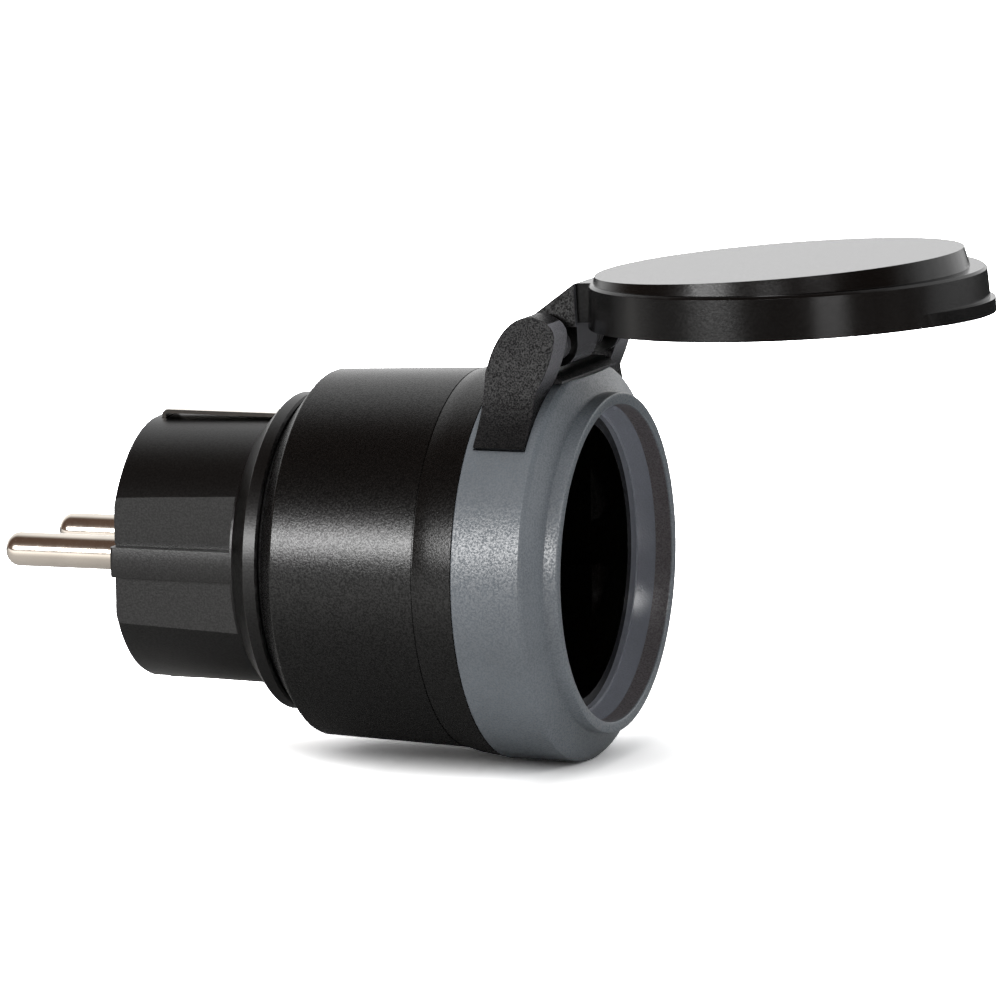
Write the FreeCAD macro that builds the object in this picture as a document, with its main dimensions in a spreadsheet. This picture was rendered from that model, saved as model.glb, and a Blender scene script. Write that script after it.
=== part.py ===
import FreeCAD, Part
import math
import os
import types

import Sketcher

# A remote controlled plug-in socket adaptor for outdoor use: an earthed two-pin plug at one end,
# a round body with the switching electronics, and at the other end a socket under a hinged lid.
# X runs along the plug's axis from the pins to the socket's mouth, Z is up through the hinge,
# and the origin is the centre of the plug's engagement face, where the pins stand out.

SIZES = {
    # Plug end
    "pin_diameter": 4.8,
    "pin_length": 19.0,
    "pin_spacing": 19.0,
    "pin_tip_flat": 1.4,
    "pin_tip_length": 1.9,
    "pin_root_diameter": 4.2,
    "pin_relief": 0.15,
    "pin_relief_depth": 0.3,
    "pin_tail_diameter": 3.2,
    "plug_bore_radius": 13.6,
    "plug_wall": 4.8,
    "plug_draft": 0.4,
    "plug_length": 18.6,
    "plug_edge": 0.8,
    "plug_floor": 7.0,
    "flat_depth": 2.4,
    "flat_draft": 0.45,
    "flat_length": 18.3,
    "guide_rib_width": 4.2,
    "flange_rise": 3.4,
    "flange_cone_length": 3.0,
    "flange_width": 2.1,
    "spigot_wall": 4.6,
    "spigot_length": 3.6,
    "clip_width": 5.0,
    "clip_thickness": 0.55,
    "clip_bend": 0.5,
    "clip_start": 1.8,
    "clip_length": 19.2,
    "clip_rise": 1.1,
    "clip_front_leg": 3.2,
    "clip_clearance": 0.15,
    # Body
    "seal_thickness": 0.6,
    "seal_setback": 0.9,
    "body_wall": 4.0,
    "body_flare_rise": 1.15,
    "body_flare": 0.5,
    "body_draft": 0.95,
    "body_nose_drop": 3.2,
    "body_nose_length": 2.7,
    "body_flare_length": 6.2,
    "body_rear_wall": 2.3,
    "fit_clearance": 0.05,
    # Front ring with its collar
    "ring_spigot_wall": 2.05,
    "ring_spigot_length": 4.0,
    "ring_step": 0.1,
    "ring_length": 10.35,
    "ring_edge": 0.5,
    "ring_flat_depth": 1.5,
    "ring_face_depth": 1.65,
    "collar_wall": 1.65,
    "collar_length": 2.1,
    "rim_edge": 0.35,
    "mouth_step": 0.5,
    "mouth_depth": 2.6,
    "throat_step": 0.55,
    "throat_depth": 2.4,
    "lip_overhang": 0.6,
    "lip_width": 0.8,
    "gasket_land": 1.0,
    "gasket_width": 1.6,
    "gasket_depth": 0.9,
    # Socket insert
    "recess_radius": 19.5,
    "recess_depth": 17.5,
    "insert_wall": 1.95,
    "insert_floor": 2.0,
    "insert_skirt_length": 9.0,
    "insert_skirt_wall": 1.6,
    "key_depth": 3.1,
    "key_root": 0.5,
    "key_setback": 4.2,
    "key_slot_width": 6.4,
    "contact_hole_radius": 2.75,
    "boss_radius": 2.6,
    "boss_gap": 0.2,
    # Shutter, contacts and their carrier
    "shutter_clearance": 0.4,
    "shutter_thickness": 1.8,
    "shutter_gap": 0.3,
    "shutter_turn": 38.0,
    "shutter_post_radius": 1.95,
    "spring_pocket_radius": 5.4,
    "spring_pocket_depth": 2.6,
    "shutter_spring_wall": 1.0,
    "carrier_space": 4.5,
    "carrier_thickness": 7.4,
    "carrier_floor": 1.0,
    "contact_radius": 3.2,
    "contact_bore_radius": 2.45,
    "contact_bore_depth": 5.6,
    "contact_slit": 0.9,
    "contact_tail_width": 3.2,
    "contact_tail_thickness": 0.8,
    "contact_tail_drop": 2.1,
    "bridge_width": 5.0,
    "bridge_thickness": 0.8,
    "bridge_inset": 0.3,
    "bridge_tip_setback": 4.9,
    "bridge_bow": 1.3,
    "bridge_bow_length": 5.0,
    # Electronics
    "board_margin": 2.6,
    "board_thickness": 1.6,
    "board_gap": 0.2,
    "solder_length": 1.0,
    "relay_length": 15.0,
    "relay_width": 10.0,
    "relay_height": 18.2,
    "reservoir_radius": 2.5,
    "reservoir_length": 11.0,
    "reservoir_y": 8.6,
    "reservoir_z": 6.2,
    "filter_length": 10.0,
    "filter_width": 4.2,
    "filter_height": 4.4,
    "filter_y": -8.3,
    "filter_z": 5.8,
    "varistor_radius": 2.8,
    "varistor_thickness": 2.6,
    "varistor_y": -8.3,
    "varistor_z": -6.4,
    "fuse_radius": 2.2,
    "fuse_length": 8.0,
    "fuse_y": 8.4,
    "fuse_z": -6.0,
    "chip_height": 1.5,
    "chip_width": 4.0,
    "chip_length": 7.0,
    "chip_inset": 8.0,
    "chip_z": 4.8,
    "module_height": 1.8,
    "module_width": 10.0,
    "module_length": 6.0,
    "module_y": 0.0,
    "module_inset": 12.5,
    "antenna_radius": 1.4,
    "antenna_length": 12.0,
    "antenna_inset": 5.5,
    "earth_wire_radius": 0.6,
    "earth_wire_offset": 12.75,
    # Assembly screws
    "screw_radius": 1.3,
    "screw_wall": 2.2,
    "screw_head_radius": 2.0,
    "screw_head_height": 1.8,
    "screw_recess": 1.2,
    # Hinge bracket, pin and spring
    "hinge_setback": 1.82,
    "hinge_rise": 3.72,
    "hinge_pin_radius": 1.2,
    "hinge_pin_sink": 0.5,
    "hinge_clearance": 0.05,
    "bracket_seat_depth": 1.0,
    "bracket_skin": 0.45,
    "bracket_wrap": 41.1,
    "bracket_rear_gap": 1.1,
    "bracket_front_gap": 1.75,
    "bracket_front_drop": 0.8,
    "plate_thickness": 1.3,
    "plate_lip": 0.35,
    "plate_slope": 1.9,
    "plate_rear_gap": 0.4,
    "plate_front_gap": 0.05,
    "groove_ledge": 0.9,
    "ear_thickness": 4.8,
    "ear_gap": 1.2,
    "ear_head_height": 4.65,
    "spring_wire_radius": 0.3,
    "spring_pitch": 1.05,
    "spring_turns": 2.75,
    "spring_clearance": 0.25,
    # Lid
    "lid_open_angle": 92.17,
    "lid_gap": 0.65,
    "lid_rim_land": 0.15,
    "lid_draft": 0.35,
    "lid_step_edge": 0.35,
    "lid_ledge": 1.45,
    "lid_crown_shift": 0.95,
    "lid_crown_draw": 0.26,
    "lid_crown_height": 1.83,
    "lid_roof": 2.68,
    "lid_top_slope": 0.0367,
    "lid_clearance": 1.35,
    "lid_bevel_height": 1.05,
    "tab_radius": 22.0,
    "tab_length": 1.0,
    "tab_thickness": 1.9,
    "gasket_gap": 0.3,
    "lid_gasket_gap": 0.1,
    "lid_gasket_lap": 0.6,
    "lid_gasket_thickness": 1.8,
    "knuckle_radius": 3.2,
    "knuckle_setback": 1.4,
    "boss_reach_gap": 0.2,
    "knuckle_boss_radius": 2.2,
    "arm_half_width": 9.5,
    "arm_reach": 3.5,
    "arm_back_height": 3.8,
    "arm_top_drop": 0.1,
    "neck_inset": 0.9,
    "neck_lift": 0.5,
    "pocket_near_edge": -0.5,
    "pocket_wall": 1.2,
    "pocket_back": 2.3,
}

FULL_TURN = 360.0

doc = FreeCAD.newDocument("socket_adaptor")
sheet = doc.addObject("Spreadsheet::Sheet", "sizes")
for row, (alias, number) in enumerate(SIZES.items(), start=1):
    sheet.set("A%d" % row, alias)
    sheet.set("B%d" % row, str(number))
    sheet.setAlias("B%d" % row, alias)
doc.recompute()


class Size:
    """A length that knows its value and the sheet expression that gives it."""

    def __init__(self, value, text):
        self.value = value
        self.text = text

    def joined(self, other, sign, value):
        return Size(value, "(%s %s %s)" % (self.text, sign, other.text))

    def __add__(self, other):
        other = size_of(other)
        return self.joined(other, "+", self.value + other.value)

    def __sub__(self, other):
        other = size_of(other)
        return self.joined(other, "-", self.value - other.value)

    def __mul__(self, other):
        other = size_of(other)
        return self.joined(other, "*", self.value * other.value)

    def __truediv__(self, other):
        other = size_of(other)
        return self.joined(other, "/", self.value / other.value)

    def __neg__(self):
        return size_of(0) - self


def size_of(number):
    """Make a Size of a plain number, and leave a Size as it is."""
    return number if isinstance(number, Size) else Size(float(number), repr(float(number)))


s = types.SimpleNamespace(**{name: Size(number, "sizes." + name) for name, number in SIZES.items()})

pieces = []


def vector(x, y, z=0.0):
    return FreeCAD.Vector(float(x), float(y), float(z))


def new_body(label):
    """Start one piece as a body and note it as a node of the assembly."""
    body = doc.addObject("PartDesign::Body", label)
    body.Label = label
    pieces.append(body)
    return body


def new_sketch(body, role, name, height=0.0):
    """A sketch on one of the body's own origin planes, lifted along that plane's normal."""
    sketch = body.newObject("Sketcher::SketchObject", name)
    plane = next(item for item in body.Origin.OriginFeatures if item.Role == role)
    sketch.AttachmentSupport = [(plane, "")]
    sketch.MapMode = "FlatFace"
    sketch.setExpression("AttachmentOffset.Base.z", size_of(height).text)
    return sketch


def hold(sketch, kind, element, point, size):
    """Fix one coordinate of a sketch point to a size."""
    number = sketch.addConstraint(Sketcher.Constraint(kind, -1, 1, element, point, size.value))
    sketch.setExpression("Constraints[%d]" % number, size.text)


def polygon(sketch, points):
    """Draw a closed outline of straight lines whose corners follow their sizes."""
    corners = [(size_of(x), size_of(y)) for x, y in points]
    first = sketch.GeometryCount
    count = len(corners)
    for (x, y), (next_x, next_y) in zip(corners, corners[1:] + corners[:1]):
        start = vector(x.value, y.value)
        sketch.addGeometry(Part.LineSegment(start, vector(next_x.value, next_y.value)), False)
    for i in range(count):
        joint = Sketcher.Constraint("Coincident", first + i, 2, first + (i + 1) % count, 1)
        sketch.addConstraint(joint)
    for i, (x, y) in enumerate(corners):
        hold(sketch, "DistanceX", first + i, 1, x)
        hold(sketch, "DistanceY", first + i, 1, y)


def rectangle(sketch, x_low, x_high, y_low, y_high):
    polygon(sketch, [(x_low, y_low), (x_high, y_low), (x_high, y_high), (x_low, y_high)])


def circle(sketch, x, y, radius):
    """Draw a circle whose centre and radius follow their sizes."""
    x, y, radius = size_of(x), size_of(y), size_of(radius)
    shape = Part.Circle(vector(x.value, y.value), vector(0, 0, 1), radius.value)
    number = sketch.addGeometry(shape, False)
    hold(sketch, "DistanceX", number, 3, x)
    hold(sketch, "DistanceY", number, 3, y)
    limit = sketch.addConstraint(Sketcher.Constraint("Radius", number, radius.value))
    sketch.setExpression("Constraints[%d]" % limit, radius.text)


def revolve(body, name, points, cut=False):
    """Turn an outline of (x, radius) corners about the X axis."""
    sketch = new_sketch(body, "XZ_Plane", name + "_outline")
    polygon(sketch, points)
    kind = "PartDesign::Groove" if cut else "PartDesign::Revolution"
    feature = body.newObject(kind, name)
    feature.Profile = sketch
    feature.ReferenceAxis = (sketch, ["H_Axis"])
    feature.Angle = FULL_TURN
    return feature


def extrude(body, name, role, low, high, outlines, cut=False):
    """Pad or pocket outlines between two heights along X (YZ_Plane), Z (XY_Plane) or Y (XZ_Plane)."""
    low, high = size_of(low), size_of(high)
    start = -high if role == "XZ_Plane" else low
    sketch = new_sketch(body, role, name + "_outline", start)
    for draw, arguments in outlines:
        draw(sketch, *arguments)
    feature = body.newObject("PartDesign::Pocket" if cut else "PartDesign::Pad", name)
    feature.Profile = sketch
    feature.Reversed = cut
    feature.setExpression("Length", (high - low).text)
    return feature


def piece_from_shape(label, shape):
    """A piece whose bent or wound form is made straight from its sizes."""
    feature = doc.addObject("Part::Feature", label)
    feature.Label = label
    feature.Shape = shape
    pieces.append(feature)
    return feature


def solid_cylinder(name, radius, length, x, y, z, direction=(1, 0, 0)):
    """A plain cylinder whose base is centred on a point and whose axis has a direction."""
    item = doc.addObject("Part::Cylinder", name)
    item.setExpression("Radius", size_of(radius).text)
    item.setExpression("Height", size_of(length).text)
    item.Placement.Rotation = FreeCAD.Rotation(vector(0, 0, 1), vector(*direction))
    for axis, size in zip("xyz", (x, y, z)):
        item.setExpression("Placement.Base." + axis, size_of(size).text)
    return item


def solid_box(name, x, y, z, length, width, height):
    """A plain block between a low corner and its three lengths."""
    item = doc.addObject("Part::Box", name)
    for side, size in zip(("Length", "Width", "Height"), (length, width, height)):
        item.setExpression(side, size_of(size).text)
    for axis, size in zip("xyz", (x, y, z)):
        item.setExpression("Placement.Base." + axis, size_of(size).text)
    return item


def cylinder_piece(label, *sizes):
    """A round component that is a piece of its own."""
    item = solid_cylinder(label, *sizes)
    item.Label = label
    pieces.append(item)


def box_piece(label, *sizes):
    """A block-shaped component that is a piece of its own."""
    item = solid_box(label, *sizes)
    item.Label = label
    pieces.append(item)


def cosine(degrees):
    """The cosine of an angle that the sheet holds in degrees."""
    return Size(math.cos(math.radians(degrees.value)), "cos(%s * 1 deg)" % degrees.text)


def sine(degrees):
    return Size(math.sin(math.radians(degrees.value)), "sin(%s * 1 deg)" % degrees.text)


# Stations along the axis that several pieces share, from the pins to the mouth.
half_spacing = s.pin_spacing / 2
pin_radius = s.pin_diameter / 2
root_radius = s.pin_root_diameter / 2
tail_radius = s.pin_tail_diameter / 2
flange_rear_x = s.plug_length + s.flange_cone_length
flange_front_x = flange_rear_x + s.flange_width
body_rear_x = flange_front_x + s.seal_thickness
body_bore_x = body_rear_x + s.body_rear_wall
spigot_end_x = flange_front_x + s.spigot_length
board_rear_x = spigot_end_x + s.board_gap
board_front_x = board_rear_x + s.board_thickness
carrier_rear_x = board_front_x + s.carrier_space
contact_rear_x = carrier_rear_x + s.carrier_floor
bridge_rear_x = carrier_rear_x - s.bridge_thickness
carrier_front_x = carrier_rear_x + s.carrier_thickness
shutter_rear_x = carrier_front_x + s.shutter_gap
shutter_front_x = shutter_rear_x + s.shutter_thickness
insert_rear_x = shutter_front_x + s.shutter_gap
recess_floor_x = insert_rear_x + s.insert_floor
insert_front_x = recess_floor_x + s.recess_depth
throat_step_x = insert_front_x + s.lip_width
mouth_step_x = throat_step_x + s.throat_depth
rim_x = mouth_step_x + s.mouth_depth
collar_root_x = rim_x - s.collar_length
ring_front_x = collar_root_x - s.ring_face_depth
ring_rear_x = ring_front_x - s.ring_length
body_crease_x = ring_rear_x - s.body_flare_length

# Radii of the plug end, from its bore outwards.
plug_face_radius = s.plug_bore_radius + s.plug_wall
plug_neck_radius = plug_face_radius + s.plug_draft
flange_radius = plug_neck_radius + s.flange_rise
seal_radius = flange_radius - s.seal_setback
spigot_radius = s.plug_bore_radius + s.spigot_wall
upper_clip_radius = plug_face_radius + s.clip_rise
lower_clip_radius = plug_face_radius
boss_circle_radius = s.plug_bore_radius + s.screw_wall
shutter_radius = boss_circle_radius - s.boss_radius - s.shutter_clearance

# Radii of the socket end, from the recess outwards: insert, ring, body and lid fit one another.
insert_radius = s.recess_radius + s.insert_wall
insert_bore_radius = insert_radius - s.insert_skirt_wall
carrier_radius = insert_bore_radius - s.fit_clearance
ring_bore_radius = insert_radius + s.fit_clearance
ring_spigot_radius = ring_bore_radius + s.ring_spigot_wall
body_bore_radius = ring_spigot_radius + s.fit_clearance
body_front_radius = body_bore_radius + s.body_wall
body_crease_radius = body_front_radius - s.body_flare_rise
body_rear_radius = body_crease_radius - s.body_draft
body_nose_radius = body_rear_radius - s.body_nose_drop
board_radius = body_bore_radius - s.board_margin
chip_y = board_radius - s.chip_inset
module_z = board_radius - s.module_inset
antenna_z = s.antenna_inset - board_radius
ring_radius = body_front_radius + s.ring_step
ring_flat_z = ring_radius - s.ring_flat_depth
gasket_inner_radius = body_bore_radius + s.gasket_land
gasket_outer_radius = gasket_inner_radius + s.gasket_width
mouth_radius = ring_bore_radius + s.mouth_step
collar_radius = mouth_radius + s.collar_wall
throat_radius = mouth_radius - s.throat_step
lip_radius = ring_bore_radius - s.lip_overhang
lid_rim_radius = ring_radius
lid_step_radius = lid_rim_radius - s.lid_draft
lid_crown_radius = lid_step_radius - s.lid_ledge
lid_bore_radius = collar_radius + s.lid_clearance
tab_reach = lid_rim_radius + s.tab_length

bridge_outer_height = s.recess_radius - s.bridge_inset
bridge_inner_height = bridge_outer_height - s.bridge_thickness
bridge_half = s.bridge_width / 2
clip_half = s.clip_width / 2
clip_end_x = s.clip_start + s.clip_length
clip_leg_foot = s.earth_wire_offset - s.earth_wire_radius

# The hinge bracket on the ring, and the hinge's axis above it.
hinge_x = ring_front_x - s.hinge_setback
hinge_z = ring_radius + s.hinge_rise
bracket_rear_x = ring_rear_x + s.bracket_rear_gap
bracket_front_x = ring_front_x - s.bracket_front_gap
bracket_seat_radius = ring_radius - s.bracket_seat_depth
bracket_skin_radius = ring_radius + s.bracket_skin
plate_top_z = ring_flat_z + s.plate_thickness
bracket_front_height = ring_flat_z - s.bracket_front_drop
ear_inner = s.arm_half_width + s.ear_gap
ear_face = ear_inner + s.ear_thickness
pin_end = ear_face - s.hinge_pin_sink

# The hinge as the lid sees it: the lid's own origin is the centre of its rim.
lid_closed_x = ring_front_x + s.lid_gap
lid_ceiling = rim_x - lid_closed_x + s.gasket_gap + s.lid_gasket_thickness
lid_top_height = lid_ceiling + s.lid_roof
lid_step_height = lid_top_height - s.lid_crown_height
lid_tilt = s.lid_open_angle - 90
hinge_back = -hinge_z
hinge_drop = hinge_x - lid_closed_x
pocket_far_edge = s.arm_half_width - s.pocket_wall

OVER = 1.0
PINS = [(half_spacing, "line"), (-half_spacing, "neutral")]
QUARTERS = [(1, 1), (-1, 1), (-1, -1), (1, -1)]

# The rounding of a pin's tip, as parts of the tip's length and of the pin's radius.
TIP_ROUNDING = [(0.08, 0.5), (0.25, 0.7), (0.5, 0.87), (0.75, 0.97)]

# The outline of a hinge ear from its front foot over the top, in ear heights from the hinge's axis.
EAR_OUTLINE = [
    (0.25, -0.82), (0.445, -0.305), (0.54, 0.125), (0.58, 0.47), (0.42, 0.74), (0.12, 0.92),
    (-0.22, 1.01), (-0.59, 0.91), (-0.92, 0.69), (-1.2, 0.34), (-1.44, -0.13), (-1.59, -0.69),
]

# How an ear's outer side leans out to the cheek, as parts of the lean and of the height.
EAR_LEAN = [
    (0.82, 0.059), (0.52, 0.178), (0.28, 0.318), (0.14, 0.456), (0.07, 0.592), (0.02, 0.776),
]


def smoothed(points, rounds=2):
    """Cut the corners of an open outline again and again, which turns it into a smooth curve."""
    for turn in range(rounds):
        cut = [points[0]]
        for (ax, ay), (bx, by) in zip(points, points[1:]):
            cut.append((ax * 0.75 + bx * 0.25, ay * 0.75 + by * 0.25))
            cut.append((ax * 0.25 + bx * 0.75, ay * 0.25 + by * 0.75))
        points = cut + [points[-1]]
    return points


screw_offset = boss_circle_radius * cosine(size_of(45))


def at_screws(radius):
    """One circle on each of the four screw axes."""
    return [(circle, (screw_offset * y, screw_offset * z, radius)) for y, z in QUARTERS]


def at_pins(radius):
    """One circle on each of the two pin axes."""
    return [(circle, (y, 0, radius)) for y, name in PINS]


def strip_slots(body, low, high, inner, outer):
    """Open the two slots, above and below the axis, that the earth bridge's arms pass through."""
    half = bridge_half + s.clip_clearance
    extrude(body, "bridge_slots", "YZ_Plane", low, high, [
        (rectangle, (-half, half, inner, outer)),
        (rectangle, (-half, half, -outer, -inner)),
    ], cut=True)


def make_plug_base():
    """The moulded plug: a drafted round nose with side flats and guide ribs, and its flange."""
    body = new_body("plug_base")
    revolve(body, "plug_form", [
        (0, 0),
        (0, plug_face_radius - s.plug_edge),
        (s.plug_edge, plug_face_radius),
        (s.plug_length, plug_neck_radius),
        (flange_rear_x, flange_radius),
        (flange_front_x, flange_radius),
        (flange_front_x, spigot_radius),
        (spigot_end_x, spigot_radius),
        (spigot_end_x, s.plug_bore_radius),
        (s.plug_floor, s.plug_bore_radius),
        (s.plug_floor, 0),
    ])
    far = plug_neck_radius + OVER
    rib_half = s.guide_rib_width / 2
    for side, side_name in ((1, "far"), (-1, "near")):
        flat = plug_face_radius - s.flat_depth
        outline = [
            (-OVER, flat * side),
            (s.flat_length, (flat + s.flat_draft) * side),
            (s.flat_length, far * side),
            (-OVER, far * side),
        ]
        for low, high, part in ((rib_half, far, "upper"), (-far, -rib_half, "lower")):
            name = "%s_%s_flat" % (side_name, part)
            extrude(body, name, "XY_Plane", low, high, [(polygon, (outline,))], cut=True)
    extrude(body, "pin_holes", "YZ_Plane", 0, s.plug_floor, at_pins(root_radius), cut=True)
    extrude(body, "pin_reliefs", "YZ_Plane", 0, s.pin_relief_depth,
            at_pins(pin_radius + s.pin_relief), cut=True)
    extrude(body, "screw_holes", "YZ_Plane", 0, spigot_end_x,
            at_screws(s.screw_radius + s.fit_clearance), cut=True)
    extrude(body, "screw_recesses", "YZ_Plane", 0, s.screw_recess + s.screw_head_height,
            at_screws(s.screw_head_radius + s.fit_clearance), cut=True)
    half = clip_half + s.clip_clearance
    top = flange_radius + OVER
    slots = []
    for side, radius in ((-1, lower_clip_radius), (1, upper_clip_radius)):
        floor = radius - s.clip_thickness - s.clip_clearance
        front_foot = radius - s.clip_front_leg - s.clip_clearance
        front = s.clip_start - s.clip_clearance
        front_inner = s.clip_start + s.clip_thickness + s.clip_clearance
        rear_inner = clip_end_x - s.clip_thickness - s.clip_clearance
        rear = clip_end_x + s.clip_clearance
        rear_foot = s.plug_bore_radius - OVER
        slots.append((polygon, ([
            (front, top * side),
            (front, front_foot * side),
            (front_inner, front_foot * side),
            (front_inner, floor * side),
            (rear_inner, floor * side),
            (rear_inner, rear_foot * side),
            (rear, rear_foot * side),
            (rear, top * side),
        ],)))
    extrude(body, "clip_slots", "XZ_Plane", -half, half, slots, cut=True)


def make_pin(y, name):
    """A round plated pin with a domed tip, a root held by the plug and a tail soldered to the board."""
    body = new_body(name + "_pin")
    tail_end_x = board_front_x + s.solder_length
    tip = [(s.pin_tip_length * along - s.pin_length, pin_radius * out) for along, out in TIP_ROUNDING]
    revolve(body, "pin_form", [
        (-s.pin_length, 0),
        (-s.pin_length, s.pin_tip_flat / 2),
        *tip,
        (s.pin_tip_length - s.pin_length, pin_radius),
        (0, pin_radius),
        (0, root_radius),
        (s.plug_floor, root_radius),
        (s.plug_floor, tail_radius),
        (tail_end_x, tail_radius),
        (tail_end_x, 0),
    ])
    body.setExpression("Placement.Base.y", y.text)


def make_earth_clip(name, side, radius):
    """A sheet metal side contact: a straight strip with a leg bent inwards at each end."""
    outer = radius * side
    shoulder = (radius - s.clip_bend) * side
    under = (radius - s.clip_thickness) * side
    front_foot = (radius - s.clip_front_leg) * side
    rear_foot = clip_leg_foot * side
    front = s.clip_start
    extrude(new_body(name), "strip", "XZ_Plane", -clip_half, clip_half, [(polygon, ([
        (front, shoulder),
        (front + s.clip_bend, outer),
        (clip_end_x - s.clip_bend, outer),
        (clip_end_x, shoulder),
        (clip_end_x, rear_foot),
        (clip_end_x - s.clip_thickness, rear_foot),
        (clip_end_x - s.clip_thickness, under),
        (front + s.clip_thickness, under),
        (front + s.clip_thickness, front_foot),
        (front, front_foot),
    ],))])


def make_earth_wires():
    """The two earth wires that join the plug's side contacts to the bridge in the socket."""
    length = bridge_rear_x - clip_end_x
    for side, name in ((1, "upper"), (-1, "lower")):
        cylinder_piece(name + "_earth_wire", s.earth_wire_radius, length,
                       clip_end_x, 0, s.earth_wire_offset * side)


def make_rear_seal():
    """The flat rubber washer between the plug's flange and the body."""
    bore = spigot_radius + s.fit_clearance
    revolve(new_body("rear_seal"), "washer", [
        (flange_front_x, bore),
        (flange_front_x, seal_radius),
        (body_rear_x, seal_radius),
        (body_rear_x, bore),
    ])


def make_body_shell():
    """The black body: a drafted tube that flares out to meet the front ring."""
    hole = spigot_radius + s.fit_clearance
    revolve(new_body("body_shell"), "shell", [
        (body_rear_x, hole),
        (body_rear_x, body_nose_radius),
        (body_rear_x + s.body_nose_length, body_rear_radius),
        (body_crease_x, body_crease_radius),
        (body_crease_x + s.body_flare * 2, body_crease_radius + s.body_flare),
        (ring_rear_x, body_front_radius),
        (ring_rear_x, body_bore_radius),
        (body_bore_x, body_bore_radius),
        (body_bore_x, hole),
    ])


def make_body_gasket():
    """The rubber ring pressed between the body and the front ring."""
    revolve(new_body("body_gasket"), "gasket", [
        (ring_rear_x, gasket_inner_radius),
        (ring_rear_x, gasket_outer_radius),
        (ring_rear_x + s.gasket_depth, gasket_outer_radius),
        (ring_rear_x + s.gasket_depth, gasket_inner_radius),
    ])


def make_front_ring():
    """The grey ring: a flat and a groove on top seat the hinge, and its collar meets the lid."""
    turned = doc.addObject("PartDesign::Body", "ring_turned")
    spigot_rear_x = ring_rear_x - s.ring_spigot_length
    revolve(turned, "ring_form", [
        (spigot_rear_x, ring_bore_radius),
        (spigot_rear_x, ring_spigot_radius),
        (ring_rear_x, ring_spigot_radius),
        (ring_rear_x, gasket_inner_radius),
        (ring_rear_x + s.gasket_depth, gasket_inner_radius),
        (ring_rear_x + s.gasket_depth, gasket_outer_radius),
        (ring_rear_x, gasket_outer_radius),
        (ring_rear_x, ring_radius),
        (ring_front_x - s.ring_edge, ring_radius),
        (ring_front_x, ring_radius - s.ring_edge),
        (collar_root_x, collar_radius),
        (rim_x - s.rim_edge, collar_radius),
        (rim_x, collar_radius - s.rim_edge),
        (rim_x, mouth_radius + s.rim_edge),
        (rim_x - s.rim_edge, mouth_radius),
        (mouth_step_x, mouth_radius),
        (mouth_step_x, throat_radius),
        (throat_step_x, throat_radius),
        (throat_step_x, lip_radius),
        (insert_front_x, lip_radius),
        (insert_front_x, ring_bore_radius),
    ])
    over = ring_radius + OVER
    extrude(turned, "hinge_flat", "YZ_Plane", ring_rear_x, collar_root_x, [
        (rectangle, (-over, over, ring_flat_z, over)),
    ], cut=True)
    rear = bracket_rear_x - s.fit_clearance
    width = bracket_front_x + s.fit_clearance - rear
    low = bracket_skin_radius * sine(s.bracket_wrap) - s.groove_ledge
    block = solid_box("groove_block", rear, -over, low, width, over * 2, over - low)
    core = solid_cylinder("groove_core", bracket_seat_radius, width, rear, 0, 0)
    groove = doc.addObject("Part::Cut", "bracket_groove")
    groove.Base = block
    groove.Tool = core
    ring = doc.addObject("Part::Cut", "front_ring")
    ring.Base = turned
    ring.Tool = groove
    ring.Label = "front_ring"
    pieces.append(ring)


def make_socket_insert():
    """The socket's inner moulding: a round recess with two keys, and a skirt for the contacts."""
    body = new_body("socket_insert")
    skirt_rear_x = insert_rear_x - s.insert_skirt_length
    revolve(body, "recess_form", [
        (skirt_rear_x, insert_bore_radius),
        (skirt_rear_x, insert_radius),
        (insert_front_x, insert_radius),
        (insert_front_x, s.recess_radius),
        (recess_floor_x, s.recess_radius),
        (recess_floor_x, 0),
        (insert_rear_x, 0),
        (insert_rear_x, insert_bore_radius),
    ])
    key_face = s.recess_radius - s.key_depth
    key_far = s.recess_radius + s.key_root
    slot_half = s.key_slot_width / 2
    key_half = Size((s.recess_radius.value ** 2 - key_face.value ** 2) ** 0.5,
                    "sqrt(%s ^ 2 - %s ^ 2)" % (s.recess_radius.text, key_face.text))
    key_front_x = insert_front_x - s.key_setback
    extrude(body, "keys", "YZ_Plane", recess_floor_x, key_front_x, [
        (polygon, ([
            (key_face * y, slot_half * z),
            (key_far * y, slot_half * z),
            ((key_face + s.key_root) * y, key_half * z),
            (key_face * y, key_half * z),
        ],)) for y, z in QUARTERS
    ])
    boss_rear_x = board_front_x + s.boss_gap
    extrude(body, "screw_bosses", "YZ_Plane", boss_rear_x, insert_rear_x, at_screws(s.boss_radius))
    extrude(body, "screw_bores", "YZ_Plane", boss_rear_x, insert_rear_x,
            at_screws(s.screw_radius + s.fit_clearance), cut=True)
    extrude(body, "contact_holes", "YZ_Plane", insert_rear_x, recess_floor_x,
            at_pins(s.contact_hole_radius), cut=True)
    strip_slots(body, insert_rear_x, recess_floor_x, bridge_inner_height - s.clip_clearance,
                bridge_outer_height + s.clip_clearance)


def make_contact_shutter():
    """The turning plate that covers both contacts until a plug's pins push it aside together."""
    body = new_body("contact_shutter")
    extrude(body, "plate", "YZ_Plane", shutter_rear_x, shutter_front_x,
            [(circle, (0, 0, shutter_radius))])
    hole_y = half_spacing * cosine(s.shutter_turn)
    hole_z = half_spacing * sine(s.shutter_turn)
    extrude(body, "holes", "YZ_Plane", shutter_rear_x, shutter_front_x, [
        (circle, (hole_y, hole_z, s.contact_hole_radius)),
        (circle, (-hole_y, -hole_z, s.contact_hole_radius)),
        (circle, (0, 0, s.shutter_post_radius + s.fit_clearance)),
    ], cut=True)


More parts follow.
